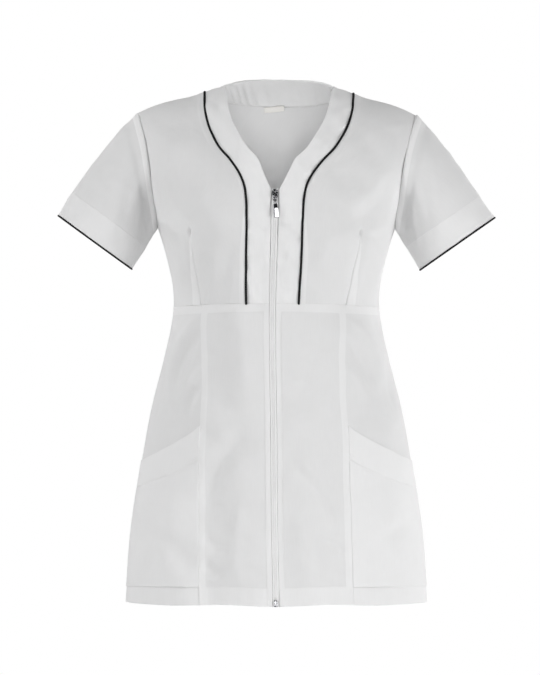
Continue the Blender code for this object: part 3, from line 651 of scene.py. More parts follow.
# A dart's relief. x is the distance outside its line. The bust dart's fold is pressed outwards and
# stands a little higher than the cloth inside the line. Its dents are measured from its tip.
BUST_DART_WAVES = [Wave(0.0, 0.0010, -0.0005), Wave(0.0, 0.006, -0.0020), Wave(0.010, 0.007, 0.0020)]
BUST_DART_OUTSIDE = Wave(0.0, 0.007, 0.0009)
BUST_DART_INSIDE = Wave(0.0, 0.004, -0.0003)
Dent = namedtuple("Dent", "x z wide high depth")
BUST_DART_DENTS = [Dent(0.0, -0.0038, 0.0014, 0.0042, 0.0072), Dent(-0.002, 0.004, 0.010, 0.013, 0.0022)]
BUST_DART_FADE = (-0.015, -0.005)
BACK_DART_WAVES = [Wave(0.0, 0.0009, -0.0008), Wave(0.0, 0.010, -0.0016)]
BACK_DART_EASE = 0.02


def bust_dart(x, z):
    away = np.abs(x) - bust_dart_x(z)
    up = z - BUST_DART_TIP_Z
    outside = smooth_step(-0.0001, 0.0007, away)
    step = waves_over([BUST_DART_OUTSIDE], away) * outside
    step = step + waves_over([BUST_DART_INSIDE], away) * (1 - outside)
    dents = sum(d.depth * hump(away - d.x, d.wide) * hump(up - d.z, d.high) for d in BUST_DART_DENTS)
    return (waves_over(BUST_DART_WAVES, away) + step) * (1 - smooth_step(*BUST_DART_FADE, up)) - dents


def back_dart(x, z):
    foot, top = BACK_DART_FOOT_Z, BACK_DART_TOP_Z
    lives = smooth_step(foot - BACK_DART_EASE, foot + BACK_DART_EASE, z)
    lives = lives * (1 - smooth_step(top - BACK_DART_EASE, top, z))
    return waves_over(BACK_DART_WAVES, np.abs(x) - back_dart_x(z)) * lives


# Laying cloth out


# x is the place across, z the height and depth how far under the cloth's outer surface a point
# lies. first, last, low and high are the distances from the four edges. On the tubes and on the back
# neck band, first is the turn round them instead.
Patch = namedtuple("Patch", "x z points normals depth first last low high")
# How many points each row is measured with before its columns are laid out
ROW_POINTS = 65


def lay_out(knots, profiles, spacing):
    """Where the columns of each row lie: an edge's profile at each knot, and even steps between.

    knots has a row for each row, and a column for each knot. A profile's places are measured
    inwards from its knot. The last knot's profile runs the other way.
    """
    places = []
    depths = []
    for k, profile in enumerate(profiles):
        last = k == len(profiles) - 1
        at_knot = [
            (knots[:, k] + (-edge.inward if last else edge.inward), edge.depth)
            for edge in (reversed(profile) if last else profile)
        ]
        if k:
            low, high = places[-1], at_knot[0][0]
            steps = max(1, round(float((high - low).max()) / spacing))
            places += [low + (high - low) * step / steps for step in range(1, steps)]
            depths += [depths[-1]] * (steps - 1)
        places += [place for place, _ in at_knot]
        depths += [depth for _, depth in at_knot]
    return np.stack(places, axis=1), np.array(depths)


def long_edge(x_at, heights, rounded=False):
    """A long edge as a function of u, which grows by 1 from each of the heights to the next.

    With rounded, the last stretch is in even turns of a half circle, close at both its ends.
    """
    heights = np.array(heights, float)

    def at(u):
        stage = np.clip(np.floor(u).astype(int), 0, len(heights) - 2)
        part = u - stage
        if rounded:
            part = np.where(stage == len(heights) - 2, (1 - np.cos(np.pi * part)) / 2, part)
        z = heights[stage] + (heights[stage + 1] - heights[stage]) * part
        return x_at(z), z

    return at


def patch(y_at, inner, outer, lengths, edges, spacing, low_z=None, high_z=None, line=None):
    """A panel's points on the even form.

    lengths are those of the stages of u, and edges the profiles at its inner, outer, low and
    high edges, each with the distance that it keeps from the seam line.
    """
    first_edge, last_edge, low_edge, high_edge = edges
    total = sum(lengths)
    knots = np.array([[low_edge[1], total - high_edge[1]]])
    rows, row_depths = lay_out(knots, [low_edge[0], high_edge[0]], spacing)
    rows = rows[0]
    u = np.interp(rows, np.concatenate([[0], np.cumsum(lengths)]), np.arange(len(lengths) + 1))
    turns = np.linspace(0, 1, ROW_POINTS)
    steps = []
    for x0, z0, x1, z1, up in zip(*inner(u), *outer(u), u):
        width = float(half_width(z1))
        first = math.asin(min(x0 / width, 1))
        last = math.asin(min(x1 / width, 1))
        x = width * np.sin(first + (last - first) * turns)
        along = (x - x0) / (x1 - x0)
        z = z0 + (z1 - z0) * along
        for border_z, share in ((low_z, 1 - up), (high_z, up - len(lengths) + 1)):
            if border_z is not None:
                straight = border_z(x[0]) + (border_z(x[-1]) - border_z(x[0])) * along
                z = z + (border_z(x) - straight) * max(share, 0) ** 2
        steps.append((x, z))
    dense_x = np.array([x for x, _ in steps])
    dense_z = np.array([z for _, z in steps])
    dense = on_body(y_at, dense_x, dense_z)
    run = np.linalg.norm(np.diff(dense, axis=1), axis=2)
    run = np.concatenate([np.zeros((len(u), 1)), np.cumsum(run, axis=1)], axis=1)
    knots = [np.full(len(u), first_edge[1]), run[:, -1] - last_edge[1]]
    profiles = [first_edge[0], last_edge[0]]
    if line is not None:
        offset = dense_x - line(dense_z)
        at_line = [np.interp(0, offset[i], run[i]) for i in range(len(u))]
        knots.insert(1, np.array(at_line))
        profiles.insert(1, LINE)
    places, column_depths = lay_out(np.stack(knots, axis=1), profiles, spacing)
    x = np.array([np.interp(places[i], run[i], dense_x[i]) for i in range(len(u))])
    z = np.array([np.interp(places[i], run[i], dense_z[i]) for i in range(len(u))])
    depth = np.maximum(row_depths[:, None], column_depths[None, :])
    low = np.broadcast_to(rows[:, None], x.shape)
    return Patch(
        x, z, on_body(y_at, x, z), out_of_body(y_at, x, z), depth,
        places, run[:, -1:] - places, low, total - low,
    )


MIRROR = np.array((-1, 1, 1))


def mirrored(piece, columns):
    """Some columns of a patch on the wearer's right, still facing out."""
    kept = Patch(*(values[:, columns] for values in piece))
    return kept._replace(x=-kept.x, points=kept.points * MIRROR, normals=kept.normals * MIRROR)


def flipped(piece):
    return mirrored(piece, slice(None, None, -1))


def whole(half):
    """A patch from the middle to the left side, joined to its mirror image across the middle."""
    right = mirrored(half, slice(1, None))
    return Patch(*(np.concatenate([a[:, ::-1], b], axis=1) for a, b in zip(half, right)))


# Meshes


def grid_faces(rows, columns, closed=False):
    r = np.arange(rows - 1)[:, None] * columns
    c = np.arange(columns if closed else columns - 1)[None, :]
    after = (c + 1) % columns
    return np.stack([r + c, r + after, r + columns + after, r + columns + c], axis=-1).reshape(-1, 4)


def lengths_along(points):
    """Metres along each row and up each column, for the weave to follow."""
    across = np.linalg.norm(np.diff(points, axis=1), axis=2)
    up = np.linalg.norm(np.diff(points, axis=0), axis=2)
    across = np.pad(np.cumsum(across, axis=1), ((0, 0), (1, 0)))
    up = np.pad(np.cumsum(up, axis=0), ((1, 0), (0, 0)))
    return across, up


def put(name, data):
    obj = bpy.data.objects.new(name, data)
    bpy.context.scene.collection.objects.link(obj)
    return obj


def link(name, mesh, material, body="garment"):
    obj = put(name, mesh)
    mesh.materials.append(material)
    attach(obj, body)
    return obj


def grid_object(name, points, material, closed=False, attributes=None, body="garment"):
    """A smooth mesh from rows and columns of points, with its size in its UV map."""
    rows, columns = points.shape[:2]
    faces = grid_faces(rows, columns, closed)
    mesh = bpy.data.meshes.new(name)
    mesh.from_pydata(points.reshape(-1, 3).tolist(), [], faces.tolist())
    ring = np.concatenate([points, points[:, :1]], axis=1) if closed else points
    across, up = lengths_along(ring)
    width = across.shape[1]
    row, column = faces // columns, faces % columns
    seam = closed & (column[:, [0]] == columns - 1) & (column == 0)
    flat = row * width + np.where(seam, columns, column)
    uv = np.stack([across.ravel()[flat], up.ravel()[flat]], axis=-1)
    layer = mesh.uv_layers.new(name="cloth")
    layer.data.foreach_set("uv", uv.astype(np.float32).ravel())
    for key, values in (attributes or {}).items():
        made = mesh.attributes.new(key, "FLOAT", "POINT")
        made.data.foreach_set("value", np.broadcast_to(values, points.shape[:2]).astype(np.float32).ravel())
    mesh.shade_smooth()
    return link(name, mesh, material, body)


def declare_sheet(points, closed=False):
    """Joins a tube's first column on after its last, and does nothing further with the points."""
    if closed:
        points = np.concatenate([points, points[:, :1]], axis=1)


def thicken(obj, wall):
    """Gives a surface its wall, on its inner side."""
    solidify = obj.modifiers.new("wall", "SOLIDIFY")
    solidify.thickness = wall
    solidify.offset = -1


# As far as a point can count as being inside doubled cloth, and what it is all over such a piece
DEEP_INSIDE = 0.01


def cloth(name, piece, relief, layers, closed=False, lift=0.0, third=-DEEP_INSIDE):
    """A piece of cloth that stands for the node of the same name.

    layers says how far inside doubled cloth each point is, and third the same for three layers.
    """
    height = relief - piece.depth + lift
    points = settled(piece.points + height[..., None] * piece.normals)
    marks = {"doubled": layers, "tripled": third}
    marks = {key: np.clip(inside, -DEEP_INSIDE, DEEP_INSIDE) for key, inside in marks.items()}
    obj = grid_object(name + "_cloth", points, MATERIALS["cloth"], closed, marks)
    thicken(obj, CLOTH_WALL)
    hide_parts(name)
    declare_sheet(points, closed)


SIDES = (("left", 1), ("right", -1))


def both(name, piece, make):
    """The wearer's left piece, and then the right one."""
    make(name + "_left", piece, 1)
    make(name + "_right", flipped(piece), -1)


def both_tubes(name, piece, make):
    """The same for tubes, whose x is the way round them."""
    other = flipped(piece)
    make(name + "_left", piece, 1)
    make(name + "_right", other._replace(x=-other.x), -1)


# Materials

SHEEN_ROUGHNESS = 0.5
NOISE_ROUGHNESS = 0.55
WAVE_RATE = 20


def new_material(name, colour, roughness, metallic=0.0, sheen=0.0):
    made = bpy.data.materials.new(name)
    made.use_nodes = True
    shader = made.node_tree.nodes["Principled BSDF"]
    shader.inputs["Base Color"].default_value = (*colour, 1)
    shader.inputs["Roughness"].default_value = roughness
    shader.inputs["Metallic"].default_value = metallic
    shader.inputs["Sheen Weight"].default_value = sheen
    shader.inputs["Sheen Roughness"].default_value = SHEEN_ROUGHNESS
    return made, made.node_tree, shader


def node(tree, kind, settings=None, **inputs):
    """A node with its settings, and its inputs set to values or fed by other nodes' outputs.

    An input is named, or numbered as in i0. A colour is given without its alpha.
    """
    made = tree.nodes.new(kind)
    for key, value in (settings or {}).items():
        setattr(made, key, value)
    for key, value in inputs.items():
        numbered = key[0] == "i" and key[1:].isdigit()
        socket = made.inputs[int(key[1:]) if numbered else key.replace("_", " ")]
        if isinstance(value, bpy.types.NodeSocket):
            tree.links.new(value, socket)
        else:
            socket.default_value = (*value, 1) if socket.type == "RGBA" else value
    return made


def math_node(tree, operation, first, second):
    return node(tree, "ShaderNodeMath", {"operation": operation}, i0=first, i1=second).outputs[0]


def times(tree, first, second):
    return math_node(tree, "MULTIPLY", first, second)


def plus(tree, first, second):
    return math_node(tree, "ADD", first, second)


def mixed(tree, share, first, second, blend="MIX"):
    """A mix of two colours."""
    settings = {"data_type": "RGBA", "blend_type": blend}
    return node(tree, "ShaderNodeMix", settings, i0=share, i6=first, i7=second).outputs[2]


def tint(tree, shader, share, dark, light):
    tree.links.new(mixed(tree, share, dark, light), shader.inputs["Base Color"])


def bump(tree, shader, *heights):
    """Bumps, each a height from 0 to 1 and its size in metres, one on another."""
    before = None
    for height, size in heights:
        made = node(tree, "ShaderNodeBump", Strength=1.0, Distance=size, Height=height)
        if before is not None:
            tree.links.new(before, made.inputs["Normal"])
        before = made.outputs["Normal"]
    tree.links.new(before, shader.inputs["Normal"])


def waves(tree, places, period, direction="X"):
    """Even ridges across a direction, from 0 to 1."""
    turns = 2 * math.pi / WAVE_RATE / period
    settings = {"wave_type": "BANDS", "bands_direction": direction, "wave_profile": "SIN"}
    return node(tree, "ShaderNodeTexWave", settings, Vector=places, Scale=turns).outputs["Fac"]


def noise(tree, places, cell, detail=2.0):
    settings = {"Scale": 1 / cell, "Detail": detail, "Roughness": NOISE_ROUGHNESS}
    return node(tree, "ShaderNodeTexNoise", Vector=places, **settings).outputs["Fac"]


def laid(tree, places, degrees=0.0, up=1.0):
    """Places turned by some degrees, or scaled along the cloth."""
    made = node(tree, "ShaderNodeMapping", Vector=places)
    made.inputs["Scale"].default_value = (1, up, 1)
    made.inputs["Rotation"].default_value = (0, 0, math.radians(degrees))
    return made.outputs["Vector"]


def eased(tree, value, low, high):
    """From 0 at low to 1 at high."""
    settings = {"interpolation_type": "SMOOTHSTEP"}
    made = node(tree, "ShaderNodeMapRange", settings, Value=value, From_Min=low, From_Max=high)
    return made.outputs["Result"]


def on_cloth(tree):
    """Places in metres along the cloth."""
    return node(tree, "ShaderNodeUVMap", {"uv_map": "cloth"}).outputs["UV"]


def in_space(tree):
    return node(tree, "ShaderNodeTexCoord").outputs["Object"]


SINGLE_CLOTH = (0.772, 0.772, 0.774)
DOUBLE_CLOTH = (0.824, 0.824, 0.826)
TRIPLE_CLOTH = (0.856, 0.856, 0.858)
LAYER_SOFTNESS = 0.0006
YARN = 0.00042


def cloth_material():
    made, tree, shader = new_material("white_twill", SINGLE_CLOTH, 0.82, sheen=0.15)
    size = on_cloth(tree)
    colour = SINGLE_CLOTH
    for name, tone in (("doubled", DOUBLE_CLOTH), ("tripled", TRIPLE_CLOTH)):
        inside = node(tree, "ShaderNodeAttribute", {"attribute_name": name}).outputs["Fac"]
        colour = mixed(tree, eased(tree, inside, -LAYER_SOFTNESS, LAYER_SOFTNESS), colour, tone)
    slubs = noise(tree, laid(tree, size, up=0.06), 0.0016, 3.0)
    clouds = noise(tree, size, 0.030, 3.0)
    shade = plus(tree, plus(tree, times(tree, slubs, 0.05), times(tree, clouds, 0.03)), 0.96)
    grey = node(tree, "ShaderNodeCombineColor", Red=shade, Green=shade, Blue=shade).outputs["Color"]
    tree.links.new(mixed(tree, 1.0, colour, grey, "MULTIPLY"), shader.inputs["Base Color"])
    twill = waves(tree, laid(tree, size, 63), YARN * 1.4)
    yarns = plus(tree, waves(tree, size, YARN), waves(tree, size, YARN * 1.15, "Y"))
    weave = plus(tree, times(tree, yarns, 0.2), times(tree, twill, 0.6))
    bump(tree, shader, (noise(tree, size, 0.011), 0.00025), (slubs, 0.00005), (weave, 0.00005))
    return made


def piping_material():
    made, tree, shader = new_material("black_bias", (0.005, 0.005, 0.006), 0.70)
    shader.inputs["Specular IOR Level"].default_value = 0.18
    size = on_cloth(tree)
    tint(tree, shader, noise(tree, size, 0.0009, 3.0), (0.004, 0.004, 0.005), (0.011, 0.011, 0.012))
    twill = waves(tree, laid(tree, size, 45), 0.00045)
    bump(tree, shader, (noise(tree, size, 0.006), 0.0002), (twill, 0.00006))
    return made


def tape_material():
    made, tree, shader = new_material("zip_tape", (0.88, 0.88, 0.88), 0.8, sheen=0.1)
    size = on_cloth(tree)
    left, right = (waves(tree, laid(tree, size, degrees), 0.0007) for degrees in (40, -40))
    bones = mixed(tree, waves(tree, size, 0.0030), (0, 0, 0), (1, 1, 1))
    tint(tree, shader, left, (0.85, 0.85, 0.85), (0.91, 0.91, 0.91))
    bump(tree, shader, (plus(tree, times(tree, left, bones), times(tree, right, 0.5)), 0.00009))
    return made


def coil_material():
    made, tree, shader = new_material("zip_nylon", (0.94, 0.94, 0.94), 0.40)
    places = in_space(tree)
    tint(tree, shader, noise(tree, places, 0.004, 3.0), (0.92, 0.92, 0.92), (0.96, 0.96, 0.96))
    bump(tree, shader, (noise(tree, places, 0.0005), 0.00003))
    return made


def thread_material():
    made, tree, shader = new_material("white_thread", (0.84, 0.84, 0.84), 0.5, sheen=0.1)
    twist = noise(tree, in_space(tree), 0.0007, 3.0)
    tint(tree, shader, twist, (0.80, 0.80, 0.80), (0.87, 0.87, 0.87))
    bump(tree, shader, (twist, 0.00006))
    return made


def metal_material(name, dark, light, roughness, dents):
    made, tree, shader = new_material(name, light, roughness, metallic=1.0)
    places = in_space(tree)
    # Blotches of noise tint the metal between its dark and light colours: scratches on the brighter copies,
    # and painted dark reflections on the near-black ones.
    scratches_and_painted_reflections = noise(tree, places, 0.0020)
    tint(tree, shader, eased(tree, scratches_and_painted_reflections, 0.49, 0.57), dark, light)
    bump(tree, shader, (scratches_and_painted_reflections, dents), (noise(tree, places, 0.004), 0.00008))
    return made


def label_material():
    made, tree, shader = new_material("ivory_label", (0.87, 0.86, 0.82), 0.45, sheen=0.1)
    size = on_cloth(tree)
    wefts = waves(tree, size, 0.0004, "Y")
    tint(tree, shader, wefts, (0.85, 0.83, 0.79), (0.90, 0.89, 0.86))
    weave = plus(tree, wefts, waves(tree, size, 0.0005))
    bump(tree, shader, (noise(tree, size, 0.004), 0.0001), (weave, 0.00004))
    return made


MATERIALS = {
    "cloth": cloth_material(),
    "piping": piping_material(),
    "tape": tape_material(),
    "coil": coil_material(),
    "thread": thread_material(),
    "bright": metal_material("bright_nickel", (0.70, 0.70, 0.72), (0.88, 0.88, 0.90), 0.16, 0.00002),
    # Painted grey reflection: a duller copy of the nickel for the left part of the pull's end.
    "painted_grey_reflection": metal_material("painted_grey_reflection_nickel", (0.50, 0.50, 0.52), (0.72, 0.72, 0.74), 0.45, 0.00004),
    # Painted dark reflection: a copy of the nickel whose colour runs down to near black in blotches, used
    # for the slider, its bridge and rails and the box's shell.
    "dark": metal_material("painted_dark_reflection_nickel", (0.006, 0.006, 0.008), (0.62, 0.62, 0.64), 0.32, 0.0005),
    # Painted dark reflection: a near-black copy of the nickel for the pull's plate round its eye.
    "black": metal_material("painted_dark_reflection_black_nickel", (0.006, 0.006, 0.007), (0.05, 0.05, 0.055), 0.35, 0.0001),
    "label": label_material(),
}


# Camera, light and floor

PHOTO_SIZE = (540, 675)
FRAME_WIDTH = 0.783
FRAME_HEIGHT = FRAME_WIDTH * PHOTO_SIZE[1] / PHOTO_SIZE[0]
CAMERA_X = -0.0093
CAMERA_Z = -0.356
CAMERA_AWAY = 20.0
CAMERA_REACH = 100
SENSOR = 36.0
FLOOR_Z = -1.3
FLOOR_HALF = 2.5


def make_camera():
    camera = put("camera", bpy.data.cameras.new("camera"))
    camera.data.sensor_width = SENSOR
    camera.data.lens = SENSOR * CAMERA_AWAY / FRAME_HEIGHT
    camera.data.clip_end = CAMERA_REACH
    camera.location = (CAMERA_X, -CAMERA_AWAY, CAMERA_Z)
    camera.rotation_euler = (math.pi / 2, 0, 0)
    bpy.context.scene.camera = camera


Light = namedtuple("Light", "name place aim size power spread", defaults=(180,))
MIDDLE = (0, 0, -0.38)
LIGHTS = [
    Light("right", (2.6, -1.5, -0.6), (0, 0, -0.5), 1.2, 47.5),
    Light("left", (-2.6, -1.5, -0.6), (0, 0, -0.5), 1.2, 22.0),
    Light("left_front", (-2.4, -1.9, 0.3), (0, 0, -0.4), 1.4, 9.5),
    Light("above_left", (-1.2, -0.9, 1.9), (0, 0, -0.3), 1.0, 24.5),
    Light("above_right", (1.2, -0.9, 1.9), (0, 0, -0.3), 1.0, 8.0),
    Light("front", (0, -4.0, 0.2), (0, 0, -0.4), 1.6, 10.5),
    Light("below", (0.1, -1.15, -1.05), (0, -0.13, -0.66), 0.6, 1.3),
    Light("behind_left", (2.0, 2.2, 0.3), MIDDLE, 1.6, 34.0),
    Light("behind_right", (-2.0, 2.2, 0.3), MIDDLE, 1.6, 22.0),
    Light("in_the_neck", (-0.03, -0.045, -0.10), (0.01, 0.11, -0.01), 0.10, 0.053, 110),
    Light("glint", (0, -3.03, 0.61), (0, -0.12, -0.16), 0.30, 1.2),
]
WORLD_LIGHT = 0.04


def aim(obj, target):
    away = np.array(obj.location) - np.array(target)
    turn_z = math.atan2(away[1], away[0]) + math.pi / 2
    tip = math.acos(away[2] / np.linalg.norm(away))
    obj.rotation_euler = (tip, 0, turn_z)


def make_lights():
    for light in LIGHTS:
        data = bpy.data.lights.new(light.name, "AREA")
        data.shape = "DISK"
        data.size = light.size
        data.energy = light.power
        data.spread = math.radians(light.spread)
        lamp = put(light.name, data)
        lamp.location = light.place
        lamp.visible_camera = False
        aim(lamp, light.aim)
    world = bpy.data.worlds.new("studio")
    bpy.context.scene.world = world
    world.use_nodes = True
    tree = world.node_tree
    seen = node(tree, "ShaderNodeLightPath").outputs["Is Camera Ray"]
    background = tree.nodes["Background"]
    background.inputs["Color"].default_value = (1, 1, 1, 1)
    strength = plus(tree, times(tree, seen, 1 - WORLD_LIGHT), WORLD_LIGHT)
    tree.links.new(strength, background.inputs["Strength"])
    bpy.context.scene.view_settings.view_transform = "Standard"


def make_floor():
    mesh = bpy.data.meshes.new("floor")
    corners = [(-1, -1), (1, -1), (1, 1), (-1, 1)]
    mesh.from_pydata([(x * FLOOR_HALF, y * FLOOR_HALF, FLOOR_Z) for x, y in corners], [], [(0, 1, 2, 3)])
    mesh.materials.append(new_material("pale_floor", (0.86, 0.86, 0.86), 0.9)[0])
    put("floor", mesh)


make_camera()
make_lights()
make_floor()


# Cloth pieces. The edges of a patch are its first, last, low and high ones, each a profile and the
# distance that it keeps from the seam line.

SPACING = 0.003
BAND_SPACING = 0.0024
BACK_SPACING = 0.0042
AT_SEAM = (TURNED, SEAM_GAP / 2)
AT_ARMHOLE = (DEEP_TURNED, ARMHOLE_GAP / 2)
AT_PIPING = (TURNED, PIPING_RADIUS - 0.0002)
AT_HEM = (folded(HEM_WIDTH, stitched=True), 0.0)
AT_ZIP = (folded(ZIP_FACING, stitched=True), 0.0)
AT_NECK = (folded(NECK_FACING, 0.0020), 0.0)
POCKET_FACING_DEPTH = 0.0010
AT_MOUTH = (folded(POCKET_FACING, POCKET_FACING_DEPTH, stitched=True), 0.0)
AT_FOOT = ([Edge(0.0, 0.0006), Edge(0.0, 0.0003), Edge(0.0004, 0.0), Edge(0.0012, 0.0)], 0.0)
PLAIN = [Edge(0.0, 0.0)]
AT_MIDDLE = (PLAIN, 0.0)
SKIRT_LENGTH = abs(HEM_Z - EMPIRE_Z)
WAIST_LENGTH = 0.112
YOKE_LENGTH = 0.205
BAND_BEND_RISE = 0.035
ALLOWANCE_SOFTNESS = 0.0010

BODICE_GATHERS = [
    Gather("z", "first", 0.010, 0.00035, 0.009, 20),
    Gather("x", "low", 0.012, 0.0004, 0.008, 23),
]
BAND_GATHERS = [
    Gather("z", "last", 0.012, 0.0008, 0.008, 30),
    Gather("z", "first", 0.014, 0.0011, 0.011, 33),
]
SKIRT_GATHERS = [
    Gather("z", "first", 0.014, 0.0005, 0.016, 50),
    Gather("z", "last", 0.008, 0.0003, 0.010, 53),
    Gather("x", "high", 0.012, 0.0004, 0.009, 56),
]
SIDE_GATHERS = [Gather("x", "high", 0.012, 0.0004, 0.009, 60)]
POCKET_GATHERS = [Gather("x", "low", 0.010, 0.0004, 0.010, 70)]
SLEEVE_GATHERS = [Gather("x", "high", 0.012, 0.0005, 0.009, 84)]
CUFF_GATHERS = [Gather("x", "low", 0.020, 0.0006, 0.011, 88)]


def skirt_edge(x_at):
    return long_edge(x_at, (hem_z(x_at(HEM_Z)), empire_z(x_at(EMPIRE_Z))))


def zip_edge_x(z):
    return np.full(np.shape(z), ZIP_EDGE)


def band_edge(bottom_x, x_at, top_x):
    return long_edge(x_at, (empire_z(bottom_x), BAND_BEND_Z, shoulder_z(top_x)), rounded=True)


def piping_seam():
    return band_edge(piping_x(EMPIRE_Z), piping_x, NECK_SEAM_X)


def one_above(lower, upper):
    """A long edge whose first stage is the lower one's, with the upper one's above it."""

    def at(u):
        below = lower(np.clip(u, 0, 1))
        above = upper(np.maximum(u - 1, 0))
        return tuple(np.where(u < 1, low, high) for low, high in zip(below, above))

    return at


def side_and_armhole():
    lower = long_edge(half_width, (empire_z(half_width(EMPIRE_Z)), UNDERARM_Z))
    return one_above(lower, long_edge(armhole_x, (UNDERARM_Z, shoulder_z(SHOULDER_TIP_X)), rounded=True))


def raised(distance):
    """The rise over seam allowances, from how far inside them a point is."""
    return LAYER_RISE * smooth_step(-ALLOWANCE_SOFTNESS, ALLOWANCE_SOFTNESS, distance)


# How far from the armhole it holds the folds down, and how much of them stays right at it
ARMHOLE_HOLDS = 0.025
ARMHOLE_SHARE = 0.3
# Between these depths under the origin, less and less of the piping's allowance shows upwards
ALLOWANCE_FADE = (0.14, 0.24)
ALLOWANCE_SHARE = 0.25
BUST_DART_LENGTH = 0.105
BUST_DART_LAYERS_END = 0.004


def make_bodice_fronts():
    edges = [AT_PIPING, AT_ARMHOLE, AT_SEAM, AT_SEAM]
    seams = piping_seam(), side_and_armhole()
    lengths = (WAIST_LENGTH, YOKE_LENGTH)
    piece = patch(front_y, *seams, lengths, edges, SPACING, empire_z, shoulder_z, bust_dart_x)

    def make(name, p, side):
        held = ARMHOLE_SHARE + (1 - ARMHOLE_SHARE) * smooth_step(0, ARMHOLE_HOLDS, p.last)
        relief = front_relief(p.x, p.z) * held + bust_dart(p.x, p.z) + gathered(p, side, BODICE_GATHERS)
        relief = relief + raised(PIPING_ALLOWANCE - p.first)
        away = np.abs(p.x) - bust_dart_x(p.z)
        below_tip = BUST_DART_TIP_Z - p.z
        fold_width = BUST_DART_FOLD * np.clip(below_tip / BUST_DART_LENGTH, 0, 1)
        in_dart = np.minimum(away, fold_width - away)
        in_dart = np.where(below_tip > BUST_DART_LAYERS_END, in_dart, -DEEP_INSIDE)
        shows = ALLOWANCE_SHARE + (1 - ALLOWANCE_SHARE) * smooth_step(*ALLOWANCE_FADE, -p.z)
        cloth(name, p, relief, np.maximum(PIPING_ALLOWANCE * shows - p.first, in_dart), third=in_dart)

    both("bodice_front", piece, make)


# How far from a shoulder seam the slack of the bands begins
END_HELD = 0.012
BAND_NOISE_LEAN = 0.4


def make_neck_bands():
    edges = [AT_NECK, AT_PIPING, AT_SEAM, AT_SEAM]
    lengths = (WAIST_LENGTH + BAND_BEND_RISE, YOKE_LENGTH - BAND_BEND_RISE)
    neck_edge = band_edge(ZIP_EDGE, neck_x, NECK_EDGE_X)
    piece = patch(front_y, neck_edge, piping_seam(), lengths, edges, BAND_SPACING, empire_z, shoulder_z)

    def make(name, p, side):
        slack = gathered(p, side, BAND_GATHERS)
        slack = slack + unevenness(BAND_NOISE, p.x + BAND_NOISE_LEAN * p.z, p.z, side)
        relief = front_relief(p.x, p.z) + slack * smooth_step(0, END_HELD, p.high)
        cloth(name, p, relief, DEEP_INSIDE, third=DEEP_INSIDE)

    both("neck_band", piece, make)


BACK_BAND_HEIGHT = 0.044
BACK_BAND_BOTTOM = [Edge(0.0, 0.0016), Edge(0.0, 0.0008), Edge(0.003, 0.0), Edge(0.012, 0.0)]
BACK_BAND_FROM = 0.0012
BACK_BAND_SPACING = 0.0022
BACK_BAND_COLUMNS = 45
BACK_BAND_END_POWER = 12
NECK_FACING_DEPTH = 0.0024
NECK_FACING_DROP = 0.0045


def back_neck_patch():
    turns = np.linspace(0, math.pi / 2, BACK_BAND_COLUMNS)
    top = folded(BACK_BAND_HEIGHT + 0.0005, NECK_FACING_DEPTH, rows=18)
    knots = np.array([[BACK_BAND_FROM, BACK_BAND_HEIGHT]])
    rows, depths = lay_out(knots, [BACK_BAND_BOTTOM, top], BACK_BAND_SPACING)
    part = rows[0][:, None] / BACK_BAND_HEIGHT
    seam_x = NECK_SEAM_X * np.sin(turns)
    edge_x = NECK_EDGE_X * np.sin(turns)
    x = seam_x * (1 - part) + edge_x * part
    z = np.minimum(back_neck_seam_z(seam_x) * (1 - part) + back_neck_edge_z(edge_x) * part, shoulder_z(x))
    z = z + (shoulder_z(x) - z) * (turns / turns[-1]) ** BACK_BAND_END_POWER
    low = np.broadcast_to(rows[0][:, None], x.shape)
    depth = np.broadcast_to(depths[:, None], x.shape)
    across = np.broadcast_to(turns, x.shape)
    z = z - NECK_FACING_DROP * (depth == NECK_FACING_DEPTH) * (1 - part) * (edge_x / NECK_EDGE_X) ** 3
    normals = out_of_body(back_y, x, z)
    return Patch(x, z, on_body(back_y, x, z), normals, depth, across, across, low, BACK_BAND_HEIGHT - low)


GATHERS = [
    # in the back neck band, most of them on the wearer's right
    Wave(-0.080, 0.0028, 0.0010),
    Wave(-0.0735, 0.0024, -0.0016),
    Wave(-0.068, 0.0026, 0.0016),
    Wave(-0.0625, 0.0020, -0.0020),
    Wave(-0.0575, 0.0022, 0.0015),
    Wave(-0.0530, 0.0018, -0.0022),
    Wave(-0.0475, 0.0026, 0.0016),
    Wave(-0.041, 0.0024, -0.0012),
    Wave(-0.034, 0.0034, 0.0008),
    Wave(-0.020, 0.0050, -0.0006),
    Wave(0.004, 0.0060, 0.0006),
    Wave(0.030, 0.0050, -0.0006),
    Wave(0.052, 0.0045, -0.0009),
    Wave(0.066, 0.0035, 0.0010),
    Wave(0.076, 0.0035, -0.0010),
]


# How the gathers lean, and how far they fade up the band, by turns
GATHER_LEANS = (0.12, 0.30)
GATHER_LEAN_FROM = 0.018
GATHER_FADES = (0.5, 0.9, 0.9)
GATHER_FADE_FROM = 0.016
# Their height on the outside, and that of ridges and grooves on the facing
OUTSIDE_SHARE = 0.5
FACING_RIDGE = 0.6
FACING_GROOVE = 1.7


def make_back_neck_band():
    piece = whole(back_neck_patch())
    relief = unevenness(BACK_BAND_NOISE, piece.x, piece.z)
    on_facing = piece.depth == NECK_FACING_DEPTH
    for k, wave in enumerate(GATHERS):
        lean = (piece.low - GATHER_LEAN_FROM) * GATHER_LEANS[k % 2]
        fades = 1 - smooth_step(GATHER_FADE_FROM, BACK_BAND_HEIGHT, piece.low) * GATHER_FADES[k % 3]
        facing_share = FACING_GROOVE if wave.height < 0 else FACING_RIDGE
        height = wave.height * np.where(on_facing, facing_share, OUTSIDE_SHARE)
        relief = relief + height * hump(piece.x - wave.x + lean, wave.width) * fades
    to_end = (math.pi / 2 - np.abs(piece.first)) * NECK_EDGE_X
    cloth("neck_band_back", piece, relief * smooth_step(0, END_HELD, to_end), DEEP_INSIDE)


